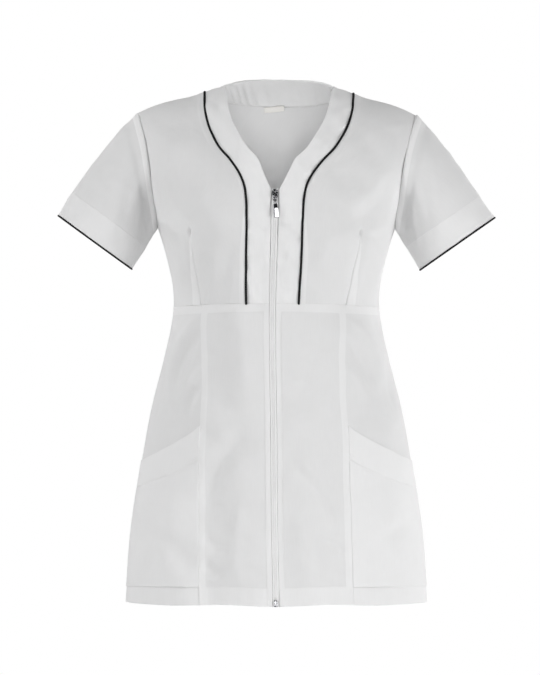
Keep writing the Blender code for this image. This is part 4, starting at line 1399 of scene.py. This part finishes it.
def make_skirt_fronts():
    edges = [AT_ZIP, AT_SEAM, AT_HEM, AT_SEAM]
    seams = skirt_edge(zip_edge_x), skirt_edge(princess_x)
    piece = patch(front_y, *seams, (SKIRT_LENGTH,), edges, SPACING, hem_z, empire_z)

    def make(name, p, side):
        in_seams = np.maximum(PRINCESS_ALLOWANCE - p.last, EMPIRE_ALLOWANCE - p.high)
        relief = front_relief(p.x, p.z) + gathered(p, side, SKIRT_GATHERS) + raised(in_seams)
        cloth(name, p, relief, np.maximum.reduce([in_seams, ZIP_FACING - p.first, HEM_WIDTH - p.low]))

    both("skirt_front", piece, make)


def make_side_fronts():
    edges = [AT_SEAM, AT_SEAM, AT_HEM, AT_SEAM]
    seams = skirt_edge(princess_x), skirt_edge(half_width)
    piece = patch(front_y, *seams, (SKIRT_LENGTH,), edges, SPACING, hem_z, empire_z)

    def make(name, p, side):
        in_seam = EMPIRE_ALLOWANCE - p.high
        relief = front_relief(p.x, p.z) + gathered(p, side, SIDE_GATHERS) + raised(in_seam)
        cloth(name, p, relief, np.maximum(in_seam, HEM_WIDTH - p.low))

    both("side_front", piece, make)


def pocket_patch():
    edges = [AT_SEAM, AT_SEAM, AT_FOOT, AT_MOUTH]
    inner = long_edge(princess_x, (POCKET_FOOT_Z, POCKET_TOP_Z))
    outer = long_edge(half_width, (POCKET_FOOT_Z, POCKET_SIDE_Z))
    length = (POCKET_TOP_Z + POCKET_SIDE_Z) / 2 - POCKET_FOOT_Z
    return patch(front_y, inner, outer, (length,), edges, SPACING, None, pocket_top_z)


# How far the pocket's mouth stands off, and how far down, and how far inside the third layer the
# facing counts as being, so that it is a little less than fully white
MOUTH_RISE = 0.0016
MOUTH_REACH = 0.060
PART_OF_THIRD = -0.0002


def make_pockets():
    def make(name, p, side):
        middle = np.sin(np.clip(p.first / (p.first + p.last), 0, 1) * math.pi)
        mouth = 1 - smooth_step(0.0, MOUTH_REACH, p.high)
        relief = front_relief(p.x, p.z) + MOUTH_RISE * middle * mouth * near_side(p.x, p.z)
        relief = relief + gathered(p, side, POCKET_GATHERS)
        third = np.minimum(POCKET_FACING - p.high, PART_OF_THIRD)
        cloth(name, p, relief, DEEP_INSIDE, lift=POCKET_LIFT, third=third)

    both("pocket", pocket_patch(), make)


BACK_NECK_ALLOWANCE = 0.010


def make_back():
    heights = (hem_z(0), empire_z(0), UNDERARM_Z, BACK_NECK_SEAM_Z)

    def inner(u):
        return np.zeros_like(u), np.interp(u, np.arange(len(heights)), heights)

    def top_z(x):
        return np.where(x < NECK_SEAM_X, back_neck_seam_z(x), shoulder_z(x))

    edges = [AT_MIDDLE, AT_SEAM, AT_HEM, AT_PIPING]
    outer = one_above(skirt_edge(half_width), side_and_armhole())
    lengths = (SKIRT_LENGTH, WAIST_LENGTH, YOKE_LENGTH)
    p = whole(patch(back_y, inner, outer, lengths, edges, BACK_SPACING, hem_z, top_z, back_dart_x))
    relief = back_relief(p.x, p.z) + back_dart(p.x, p.z)
    cloth("back", p, relief, np.maximum(HEM_WIDTH - p.low, BACK_NECK_ALLOWANCE - p.last))


# Sleeves


def armhole_point(turn):
    """Round the armhole from the underarm, up the front, over the shoulder and down the back."""
    top = shoulder_z(SHOULDER_TIP_X)
    z = UNDERARM_Z + (top - UNDERARM_Z) * (1 - np.cos(turn)) / 2
    x = armhole_x(z)
    y = np.where(turn < math.pi, front_y(x, z), back_y(x, z))
    return np.stack([x, y, z], axis=-1)


def sleeve_point(turn, part):
    """A point of the sleeve, part of the way from the armhole, 0, to the hem, 1."""
    inner, outer = (np.array((x, 0, z)) for x, z in (CUFF_INNER, CUFF_OUTER))
    start = armhole_point(turn)
    front = np.sin(turn)[..., None] * (0, -1, 0)
    end = inner + (outer - inner) * ((1 - np.cos(turn)) / 2)[..., None] + CUFF_HALF_DEPTH * front
    crown = SLEEVE_CROWN * np.clip(-np.cos(turn), 0, 1)[..., None] * unit(outer - inner)
    part = part[..., None]
    return start + (end - start) * part + (crown + SLEEVE_SIDE * front) * part * (1 - part) ** 2


def sleeve_length(turn):
    one = np.ones_like(turn)
    return np.linalg.norm(sleeve_point(turn, one) - sleeve_point(turn, 0 * one), axis=-1)


SLEEVE_ROUND = 0.36


def sleeve_patch(profiles, from_length, to_length, columns, spacing):
    """Part of the sleeve's tube, its rows from the hem up. Lengths are measured up from the hem."""
    turn = np.arange(columns) * 2 * math.pi / columns
    length = sleeve_length(turn)
    to_length = length if to_length is None else to_length + 0 * length
    up, depths = lay_out(np.stack([from_length + 0 * length, to_length], axis=1), profiles, spacing)
    up = up.T
    turn = np.broadcast_to(turn, up.shape)
    part = 1 - up / length
    step = 1e-3
    round_it = sleeve_point(turn + step, part) - sleeve_point(turn - step, part)
    rising = sleeve_point(turn, part - step) - sleeve_point(turn, part + step)
    normals = unit(np.cross(round_it, rising))
    depth = np.broadcast_to(depths[:, None], up.shape)
    x = turn * SLEEVE_ROUND / (2 * math.pi)
    return Patch(x, length - up, sleeve_point(turn, part), normals, depth, turn, part, up, length - up)


# Waves down a sleeve: the head's, on the front and top, and one on top of the right sleeve only
HEAD_WAVES = [Wave(0.003, 0.007, 0.0020), Wave(0.020, 0.008, -0.0021)]
RIGHT_TOP_WAVES = [Wave(0.152, 0.040, 0.0027), Wave(0.060, 0.034, -0.0018)]
SLEEVE_NOISE_RADIUS = 0.06
FRONT_CREASES = 0.55
FRONT_CREASE_FADE = (0.050, 0.105)


def sleeve_relief(p, side):
    top = np.clip(-np.cos(p.first), 0, 1)
    noise_x = np.cos(p.first) * SLEEVE_NOISE_RADIUS
    rough = unevenness(SLEEVE_NOISE, noise_x + p.z, np.sin(p.first) * SLEEVE_NOISE_RADIUS, side)
    front_and_top = np.clip(np.sin(p.first) * 1.4, 0, 1) + top * 0.5
    head = waves_over(HEAD_WAVES, p.z) * np.clip(front_and_top, 0, 1)
    if side < 0:
        head = head + waves_over(RIGHT_TOP_WAVES, p.z) * top**3
    on_front = FRONT_CREASES * (1 - smooth_step(*FRONT_CREASE_FADE, p.z))
    strength = np.where(p.x < SLEEVE_ROUND / 2, on_front, 1)
    return folds(SLEEVE_FOLDS[side], p.x, p.z) * strength + rough + head


SLEEVE_HEAD = [
    Edge(0.0, 0.0030),
    Edge(0.0, 0.0007),
    Edge(0.0002, 0.0003),
    Edge(0.0010, -0.0002),
    Edge(0.0040, -0.0004),
    Edge(0.0090, -0.0003),
    Edge(0.0120, 0.0),
]
SLEEVE_COLUMNS = 132
CUFF_COLUMNS = 120
CUFF_FACING = CUFF_WIDTH - 0.004
CUFF_LIFT = 0.0001


def make_sleeves():
    profiles = [LIGHTLY_TURNED, SLEEVE_HEAD]
    piece = sleeve_patch(profiles, CUFF_WIDTH + SEAM_GAP / 2, None, SLEEVE_COLUMNS, SPACING)

    def make(name, p, side):
        in_seam = ARMHOLE_ALLOWANCE - p.high
        relief = sleeve_relief(p, side) + gathered(p, side, SLEEVE_GATHERS)
        cloth(name, p, relief, in_seam, closed=True, third=in_seam)

    both_tubes("sleeve", piece, make)


def make_cuffs():
    profiles = [folded(CUFF_FACING), LIGHTLY_TURNED]
    piece = sleeve_patch(profiles, 0.0, CUFF_WIDTH - SEAM_GAP / 2, CUFF_COLUMNS, SPACING)

    def make(name, p, side):
        relief = sleeve_relief(p, side) + CUFF_LIFT + gathered(p, side, CUFF_GATHERS)
        cloth(name, p, relief, DEEP_INSIDE, closed=True)

    both_tubes("cuff", piece, make)


# Lines along the cloth, and cords sewn into its seams

# The garment's two faces, each with its even form and its folds
Face = namedtuple("Face", "y_at relief")
FRONT = Face(front_y, front_relief)
BACK = Face(back_y, back_relief)


def over(face, x, z, lift=0.0):
    """Points this high over the folded cloth of the front or back, and the directions out of it."""
    normals = out_of_body(face.y_at, x, z)
    height = face.relief(x, z) + lift
    return settled(on_body(face.y_at, x, z) + height[..., None] * normals), normals


def run_along(line):
    """How far along a line each of its points is."""
    return np.concatenate([[0], np.cumsum(np.linalg.norm(np.diff(line, axis=0), axis=1))])


def at_places(places, run, values):
    """What values come to at some places, from those at each point of a line."""
    return np.stack([np.interp(places, run, values[:, i]) for i in range(3)], axis=1)


def resampled(line, spacing, closed=False):
    if closed:
        line = np.concatenate([line, line[:1]])
    run = run_along(line)
    made = at_places(np.linspace(0, run[-1], max(2, round(run[-1] / spacing) + 1)), run, line)
    return made[:-1] if closed else made


def tube(name, line, radius, material, sides=12, closed=False, squash=1.0, body="garment"):
    """A round cord along a line, with its length in its UV map."""
    line = np.asarray(line, float)
    if closed:
        ahead = unit(np.roll(line, -1, axis=0) - np.roll(line, 1, axis=0))
    else:
        ahead = unit(np.gradient(line, axis=0))
    across = np.zeros_like(line)
    across[0] = unit(np.cross(ahead[0], (0.3, 0.1, 0.9)))
    for i in range(1, len(line)):
        across[i] = unit(across[i - 1] - ahead[i] * (across[i - 1] @ ahead[i]))
    turns = (np.arange(sides) * 2 * math.pi / sides)[None, :, None]
    ring = np.cos(turns) * across[:, None] + squash * np.sin(turns) * np.cross(ahead, across)[:, None]
    points = line[:, None] + ring * radius
    if closed:
        points = np.concatenate([points, points[:1]])
    obj = grid_object(name, points[:, ::-1], MATERIALS[material], closed=True, body=body)
    if not closed:
        close_ends(obj.data)
    return obj


def close_ends(mesh):
    """Caps an open tube."""
    edit = bmesh.new()
    edit.from_mesh(mesh)
    bmesh.ops.holes_fill(edit, edges=edit.edges)
    edit.to_mesh(mesh)
    edit.free()


CORD_RADIUS = 0.00172
CUFF_CORD_RADIUS = 0.00138
CORD_SPACING = 0.0024
CORD_LIFT = 0.0001
# A front cord's end goes on a little, and then back in two steps to meet the back one
CORD_END_LONGER = 0.2
CORD_END_BACK = np.array([[0, 0.0010, 0]])
CORD_TIP_BACK = np.array([[0, 0.0020, -0.0002]])
CUFF_CORD_POINTS = 200
CUFF_CORD_DOWN = 0.0009
CUFF_CORD_IN = 0.0003


def make_cord(name, line, radius, stands_for, closed=False):
    cord = tube(name, line, radius, "piping", closed=closed)
    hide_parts(stands_for)


def make_piping():
    x, z = piping_seam()(np.linspace(0, 2, 400))
    for name, side in SIDES:
        line = resampled(over(FRONT, side * x, z, CORD_LIFT)[0], CORD_SPACING)
        end = line[:1] + CORD_END_LONGER * (line[:1] - line[1:2]) + CORD_END_BACK
        line = np.concatenate([end + CORD_TIP_BACK, end, line])
        make_cord(f"piping_{name}_cord", line, CORD_RADIUS, f"piping_front_{name}")
    x = NECK_SEAM_X * np.sin(np.linspace(-math.pi / 2, math.pi / 2, 300))
    line = resampled(over(BACK, x, back_neck_seam_z(x), CORD_LIFT)[0], CORD_SPACING)
    make_cord("piping_back_cord", line, CORD_RADIUS, "piping_back")


def make_cuff_piping():
    end = sleeve_patch([PLAIN, PLAIN], 0.0, 0.010, CUFF_CORD_POINTS, 0.01)
    turn = end.first[0]
    hem = sleeve_point(turn, turn * 0 + 1)
    down = unit(hem - sleeve_point(turn, turn * 0 + 0.9))
    inwards = unit(hem.mean(axis=0) - hem)
    for name, side in SIDES:
        inset = CUFF_CORD_IN - sleeve_relief(end, side)[0]
        line = settled((hem + down * CUFF_CORD_DOWN + inwards * inset[:, None]) * (side, 1, 1))
        line = resampled(line, CORD_SPACING, closed=True)
        make_cord(f"cuff_piping_{name}_cord", line, CUFF_CORD_RADIUS, f"cuff_piping_{name}", closed=True)


# Stitches and zip teeth, as many copies of a six-sided rod

ROD_SIDES = 6
ROD_TURNS = np.arange(ROD_SIDES) * 2 * math.pi / ROD_SIDES
ROD_END = np.array([[3, 2, 1, 0], [5, 4, 3, 0]])


# A ring's place along the rod, its radius, and how far it is moved up
Ring = namedtuple("Ring", "along radius rise")


def make_rod(rings, end, height=1.0):
    """A rod's points and faces, with its rings this much higher than wide."""
    points = [
        (ring.along, ring.radius * math.cos(turn), ring.radius * height * math.sin(turn) + ring.rise)
        for ring in rings
        for turn in ROD_TURNS
    ]
    sides = grid_faces(len(rings), ROD_SIDES, closed=True)
    faces = np.concatenate([sides, end, end[:, ::-1] + (len(rings) - 1) * ROD_SIDES])
    return np.array(points), faces


def copies(name, rod, faces, groups, material):
    """One mesh of many copies of a rod.

    Each group has its copies' centres, the three directions that the rod's own take there, and
    whether their faces are turned over.
    """
    points = np.concatenate([centres[:, None] + rod @ directions for centres, directions, _ in groups])
    turned = np.concatenate([np.full(len(centres), flip) for centres, _, flip in groups])
    starts = np.arange(len(points)) * len(rod)
    made = np.where(turned[:, None, None], faces[:, ::-1], faces) + starts[:, None, None]
    mesh = bpy.data.meshes.new(name)
    mesh.from_pydata(points.reshape(-1, 3).tolist(), [], made.reshape(-1, 4).tolist())
    mesh.shade_smooth()
    return link(name, mesh, MATERIALS[material])


# In shares of a stitch's length and radius
STITCH_RINGS = [
    Ring(-0.5, 0.55, -0.8),
    Ring(-0.34, 1.0, 0.1),
    Ring(0.0, 1.05, 0.5),
    Ring(0.34, 1.0, 0.1),
    Ring(0.5, 0.55, -0.8),
]
STITCH_PITCH = 0.0027
STITCH_LENGTH = 0.0020
STITCH_RADIUS = 0.00024
STITCH_AHEAD = 4e-4


def stitches(name, rows):
    """Rows of stitches as one mesh. Each row is a line of points and the directions out of the cloth."""
    groups = []
    for line, normals in rows:
        run = run_along(line)
        count = int(run[-1] / STITCH_PITCH)
        places = (np.arange(count) + 0.5) * run[-1] / count
        centres = at_places(places, run, line)
        ahead = unit(at_places(places + STITCH_AHEAD, run, line) - centres)
        out = unit(at_places(places, run, normals))
        out = unit(out - ahead * (out * ahead).sum(axis=1, keepdims=True))
        groups.append((centres, np.stack([ahead, np.cross(out, ahead), out], axis=1), False))
    rod, faces = make_rod(STITCH_RINGS, ROD_END[:, ::-1])
    rod = rod * (STITCH_LENGTH, STITCH_RADIUS, STITCH_RADIUS)
    copies(name, rod, faces, groups, "thread")


STITCH_SINK = 0.0002
HEM_ROW_END = 0.2185
ROW_MARGIN = 0.001
FOOT_ROW_RISE = 0.0025
MOUTH_ROW_LIFT = 0.0002


def make_stitches():
    rows = []
    empire = float(empire_z(0))
    for side in (1, -1):
        x = np.linspace(ZIP_EDGE + ROW_MARGIN, HEM_ROW_END, 160)
        rows.append(over(FRONT, side * x, hem_z(x) + HEM_WIDTH, -STITCH_SINK))
        z = np.linspace(HEM_Z + 2 * ROW_MARGIN, empire - ROW_MARGIN, 200)
        rows.append(over(FRONT, np.full(len(z), side * (ZIP_EDGE + ZIP_FACING)), z, -STITCH_SINK))
        z = np.linspace(empire + ROW_MARGIN, BAND_BEND_Z + 0.006, 80)
        rows.append(over(FRONT, side * (neck_x(z) + ZIP_FACING), z))
    x = np.linspace(-HEM_ROW_END, HEM_ROW_END, 400)
    rows.append(over(BACK, x, hem_z(x) + HEM_WIDTH, -STITCH_SINK))
    stitches("hem_and_zip_stitches", rows)
    rows = []
    piece = pocket_patch()
    behind = piece.depth[:, piece.x.shape[1] // 2] > POCKET_FACING_DEPTH / 2
    row = np.argmin(np.abs(piece.high[:, 0] - POCKET_FACING) + behind)
    mouth_x, mouth_z = (values[row, 4:-4] for values in (piece.x, piece.z))
    ends = float(princess_x(POCKET_FOOT_Z)) + ROW_MARGIN, float(half_width(POCKET_FOOT_Z)) - 0.0008
    foot_x = np.linspace(*ends, 120)
    foot_z = np.full(len(foot_x), POCKET_FOOT_Z + FOOT_ROW_RISE)
    for side in (1, -1):
        rows.append(over(FRONT, side * mouth_x, mouth_z, POCKET_LIFT + MOUTH_ROW_LIFT))
        rows.append(over(FRONT, side * foot_x, foot_z, POCKET_LIFT - STITCH_SINK))
    stitches("pocket_stitches", rows)


# Zip

COIL_PITCH = 0.00135
COIL_REACH = 0.0023
COIL_DEPTH = 0.0004
COIL_INSIDE = 0.0003
COIL_LOW_Z = HEM_Z + 0.0105
COIL_HIGH_Z = SLIDER_Z - 0.0080
TOOTH_RINGS = [
    Ring(-0.00012, 0.00032, -0.00042),
    Ring(0.0001, 0.00048, -0.00034),
    Ring(0.0006, 0.00056, -0.0001),
    Ring(0.0012, 0.00054, 0.0),
    Ring(COIL_REACH - 0.0004, 0.00050, 0.0),
    Ring(COIL_REACH, 0.00025, 0.0),
]
TOOTH_HEIGHT = 1.25
TOOTH_AHEAD = 1e-3
THREAD_X = 0.0017
THREAD_RADIUS = 0.00022
TAPE_DEPTH = 0.0001
TAPE_DIP = 0.0021
TAPE_DIPS = (0.0041, 0.0049)
TAPE_WALL = 0.0005
TAPE_X = np.array([0.0014, 0.0024, 0.0034, 0.0040, 0.0043, 0.0046, 0.0049, 0.0054, 0.0070, 0.0105, 0.0140])


def make_zip_coil():
    rod, faces = make_rod(TOOTH_RINGS, ROD_END, TOOTH_HEIGHT)
    rod = rod - (COIL_INSIDE, 0, 0)
    z = np.linspace(COIL_LOW_Z, COIL_HIGH_Z, 1200)
    line, normals = over(FRONT, np.zeros_like(z), z, -COIL_DEPTH)
    run = run_along(line)
    groups = []
    for side, shift in ((1, 0.25), (-1, 0.75)):
        places = (np.arange(int(run[-1] / COIL_PITCH)) + shift) * COIL_PITCH
        centres = at_places(places, run, line)
        ahead = unit(at_places(places + TOOTH_AHEAD, run, line) - centres)
        out = at_places(places, run, normals)
        across = np.cross(out, ahead)
        across = unit(across) * np.sign(across[:, :1]) * side
        groups.append((centres, np.stack([across, ahead, out], axis=1), side < 0))
    teeth = copies("zip_teeth", rod, faces, groups, "coil")
    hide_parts("zip_coil")
    z = np.linspace(COIL_LOW_Z, COIL_HIGH_Z + 0.003, 400)
    for name, side in SIDES:
        line = resampled(over(FRONT, np.full(len(z), side * THREAD_X), z)[0], 0.0016)
        tube(f"zip_thread_{name}", line, THREAD_RADIUS, "thread", sides=6)


def make_zip_tapes():
    z = np.linspace(HEM_Z + 0.0005, SLIDER_Z + 0.0100, 420)
    for name, side in SIDES:
        grid_x, grid_z = np.meshgrid(np.sort(TAPE_X * side), z)
        lift = -TAPE_DEPTH - TAPE_DIP * smooth_step(*TAPE_DIPS, np.abs(grid_x))
        points, _ = over(FRONT, grid_x, grid_z, lift)
        tape = grid_object(f"zip_tape_{name}_cloth", points, MATERIALS["tape"])
        thicken(tape, TAPE_WALL)
        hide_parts(f"zip_tape_{name}")
        declare_sheet(points)


# The zip's metal. A seat is a place on the front's middle, with its directions out and up.

Seat = namedtuple("Seat", "place out up")
SEAT_HALF = 0.004
PLATE_EDGE = math.radians(40)


def seat_at(place, z):
    """A seat in a place, sloped as the front is at a height."""
    rise = float(front_y(0.0, z + SEAT_HALF) - front_y(0.0, z - SEAT_HALF))
    slope = math.atan2(rise, 2 * SEAT_HALF)
    out = np.array((0, -math.cos(slope), math.sin(slope)))
    return Seat(place, out, np.array((0, math.sin(slope), math.cos(slope))))


def slider_seat():
    return seat_at(np.array((float(middle_x(SLIDER_Z)), float(front_y(0.0, SLIDER_Z)), SLIDER_Z)), SLIDER_Z)


def plate(name, seat, corners, rounding, thickness, bevel, material, lift=0.0, body="garment"):
    """A flat metal plate with rounded corners and edges, this far out of its seat."""
    curve = bpy.data.curves.new(name, "CURVE")
    curve.dimensions = "2D"
    curve.fill_mode = "BOTH"
    curve.extrude = thickness / 2 - bevel
    curve.bevel_depth = bevel
    curve.bevel_resolution = 2
    curve.offset = -bevel
    outline = round_outline(corners, rounding)
    spline = curve.splines.new("POLY")
    spline.points.add(len(outline) - 1)
    for point, (x, y) in zip(spline.points, outline):
        point.co = (x, y, 0, 1)
    spline.use_cyclic_u = True
    source = put(name + "_outline", curve)
    bpy.context.view_layer.update()
    mesh = bpy.data.meshes.new_from_object(source.evaluated_get(bpy.context.evaluated_depsgraph_get()))
    bpy.data.objects.remove(source)
    points = np.array([vertex.co for vertex in mesh.vertices])
    axes = np.stack([np.cross(seat.up, seat.out), seat.up, seat.out])
    world = seat.place + seat.out * lift + points @ axes
    mesh.vertices.foreach_set("co", world.astype(np.float32).ravel())
    mesh.materials.clear()
    mesh.shade_smooth()
    mesh.set_sharp_from_angle(angle=PLATE_EDGE)
    return link(name, mesh, MATERIALS[material], body)


def round_outline(corners, radius, steps=5):
    """A closed outline with rounded corners, from its corner points in order."""
    corners = np.array(corners, float)
    outline = []
    for before, corner, after in zip(np.roll(corners, 1, axis=0), corners, np.roll(corners, -1, axis=0)):
        sides = before - corner, after - corner
        reach = min(radius, *(np.linalg.norm(side) / 2.05 for side in sides))
        start, end = (corner + unit(side) * reach for side in sides)
        for step in range(steps + 1):
            t = step / steps
            outline.append(tuple(start * (1 - t) ** 2 + corner * 2 * t * (1 - t) + end * t**2))
    return outline


def rectangle(left, right, low, high):
    return [(left, low), (right, low), (right, high), (left, high)]


SLIDER_CORNERS = [
    (-0.0028, -0.0080),
    (0.0028, -0.0080),
    (0.0038, -0.0020),
    (0.0046, 0.0030),
    (0.0042, 0.0072),
    (0.0026, 0.0094),
    (0.0009, 0.0096),
    (0.0, 0.0086),
    (-0.0009, 0.0096),
    (-0.0026, 0.0094),
    (-0.0042, 0.0072),
    (-0.0046, 0.0030),
    (-0.0038, -0.0020),
]


def make_slider():
    seat = slider_seat()
    place, out, up = seat
    # The slider, its back, its bridge and its rails are in the nickel painted dark for their dark
    # reflections.
    top = plate("slider_plate", seat, SLIDER_CORNERS, 0.0016, 0.0011, 0.0003, "dark", lift=0.0012)
    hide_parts("zip_slider")
    plate("slider_back", seat, SLIDER_CORNERS, 0.0016, 0.0009, 0.0003, "dark", lift=-0.0030)
    bridge = [
        place + out * (0.0008 + 0.0041 * math.sin(t)) + up * (-0.0010 + 0.0065 * math.cos(t))
        for t in np.linspace(-0.10, math.pi + 0.10, 25)
    ]
    tube("slider_bridge", bridge, 0.0007, "dark", sides=10, squash=1.25)
    across = np.cross(up, out)
    for name, side in SIDES:
        rail = []
        for s in np.linspace(-0.0068, 0.0066, 14):
            aside = side * (0.0026 + 0.0011 * smooth_step(-0.002, 0.005, s))
            rail.append(place + across * aside + up * s + out * 0.0017)
        tube(f"slider_rail_{name}", rail, 0.0004, "dark", sides=8)


PULL_PIVOT_OUT = 0.0027
PULL_PIVOT_UP = -0.0024
PULL_TOP = 0.0006
PULL_LOW = PULL_TOP - 0.0305
PULL_LEAN = math.radians(3.5)


def make_pull():
    """The tab: painted near black round its eye for the dark reflection there, with a bright ring below
    that. At its end is a bright polished pad, lit by the glint lamp, beside a part painted duller grey for
    a grey reflection.
    """
    place, out, straight_up = slider_seat()
    pivot = place + out * PULL_PIVOT_OUT + straight_up * PULL_PIVOT_UP
    up = straight_up * math.cos(PULL_LEAN) - np.cross(straight_up, out) * math.sin(PULL_LEAN)
    across = np.cross(up, out)
    seat = Seat(pivot, out, up)
    block = [(-0.0025, -0.0097), (0.0025, -0.0097), (0.0027, -0.0164), (-0.0027, -0.0164)]
    # The plate round the eye is in the nickel painted near black, standing in for the dark reflection
    # there.
    tab = plate("pull_plate", seat, block, 0.0008, 0.0012, 0.00025, "black", body="pull_tab")
    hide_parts("zip_pull")
    eye_top = PULL_TOP - 0.0004
    eye = [(-0.0021, eye_top), (-0.0021, -0.0102), (0.0021, -0.0102), (0.0021, eye_top)]
    ring = [pivot + across * x + up * z for x, z in round_outline(eye, 0.0014)]
    tube("pull_ring", ring, 0.00048, "bright", sides=8, closed=True, body="pull_tab")
    # The end plate is in the nickel painted grey, standing in for the duller reflection on the tab's left.
    # The bright pad over its right gets its light from the glint lamp.
    end = rectangle(-0.0034, 0.0034, -0.0158, PULL_LOW)
    plate("pull_end", seat, end, 0.0009, 0.0011, 0.00025, "painted_grey_reflection", body="pull_tab")
    pad = rectangle(-0.0013, 0.0034, -0.0162, PULL_LOW + 0.0006)
    plate("pull_pad", seat, pad, 0.0008, 0.0016, 0.0002, "bright", body="pull_tab")


def make_zip_box():
    middle = np.mean(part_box("zip_box"), axis=0)
    seat = seat_at(middle, HEM_Z + 0.005)
    corners = rectangle(-0.0030, 0.0030, -0.0050, 0.0046)
    # The shell is in the nickel painted dark for its dark reflections, and its pin and ridge are in bright
    # nickel.
    box = plate("zip_box_shell", seat, corners, 0.0009, 0.0026, 0.0004, "dark")
    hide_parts("zip_box")
    for name, x, height in (("pin", 0.0013, 0.0062), ("box_ridge", -0.0013, 0.0040)):
        heights = np.linspace(-0.0040, height, 10)
        run = [middle + np.array((x, 0, 0)) + seat.up * s + seat.out * 0.0012 for s in heights]
        tube(f"zip_{name}", run, 0.0005, "bright", sides=8)


# Label

LABEL_X = -0.0065
LABEL_DROP = 0.0032
LABEL_WIDTH = 0.0300
LABEL_HEIGHT = 0.0078
LABEL_TILT = math.radians(6.5)
LABEL_DEPTH = 0.0036
LABEL_SLACK = 0.0009
LABEL_WALL = 0.0005
LABEL_ROW_SINK = 0.0004


def make_label():
    """A blank label, held at its two ends inside the back and a little slack between them."""
    u, v = np.meshgrid(np.linspace(-0.5, 0.5, 41)[::-1], np.linspace(-0.5, 0.5, 11))
    x = LABEL_X + LABEL_WIDTH * u * math.cos(LABEL_TILT) - LABEL_HEIGHT * v * math.sin(LABEL_TILT)
    z = BACK_NECK_SEAM_Z - LABEL_DROP + LABEL_WIDTH * u * math.sin(LABEL_TILT) + LABEL_HEIGHT * v
    normals = out_of_body(back_y, x, z)
    depth = LABEL_DEPTH + LABEL_SLACK * np.cos(u * math.pi) ** 2 * (0.6 - v)
    points = settled(on_body(back_y, x, z) - depth[..., None] * normals)
    label = grid_object("label_cloth", points, MATERIALS["label"])
    thicken(label, LABEL_WALL)
    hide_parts("label")
    rows = [(points[:, c] - LABEL_ROW_SINK * normals[:, c], -normals[:, c]) for c in (2, -3)]
    stitches("label_stitches", rows)


make_back()
make_bodice_fronts()
make_neck_bands()
make_back_neck_band()
make_skirt_fronts()
make_side_fronts()
make_pockets()
make_sleeves()
make_cuffs()
make_piping()
make_cuff_piping()
make_stitches()
make_zip_tapes()
make_zip_coil()
make_slider()
make_pull()
make_zip_box()
make_label()
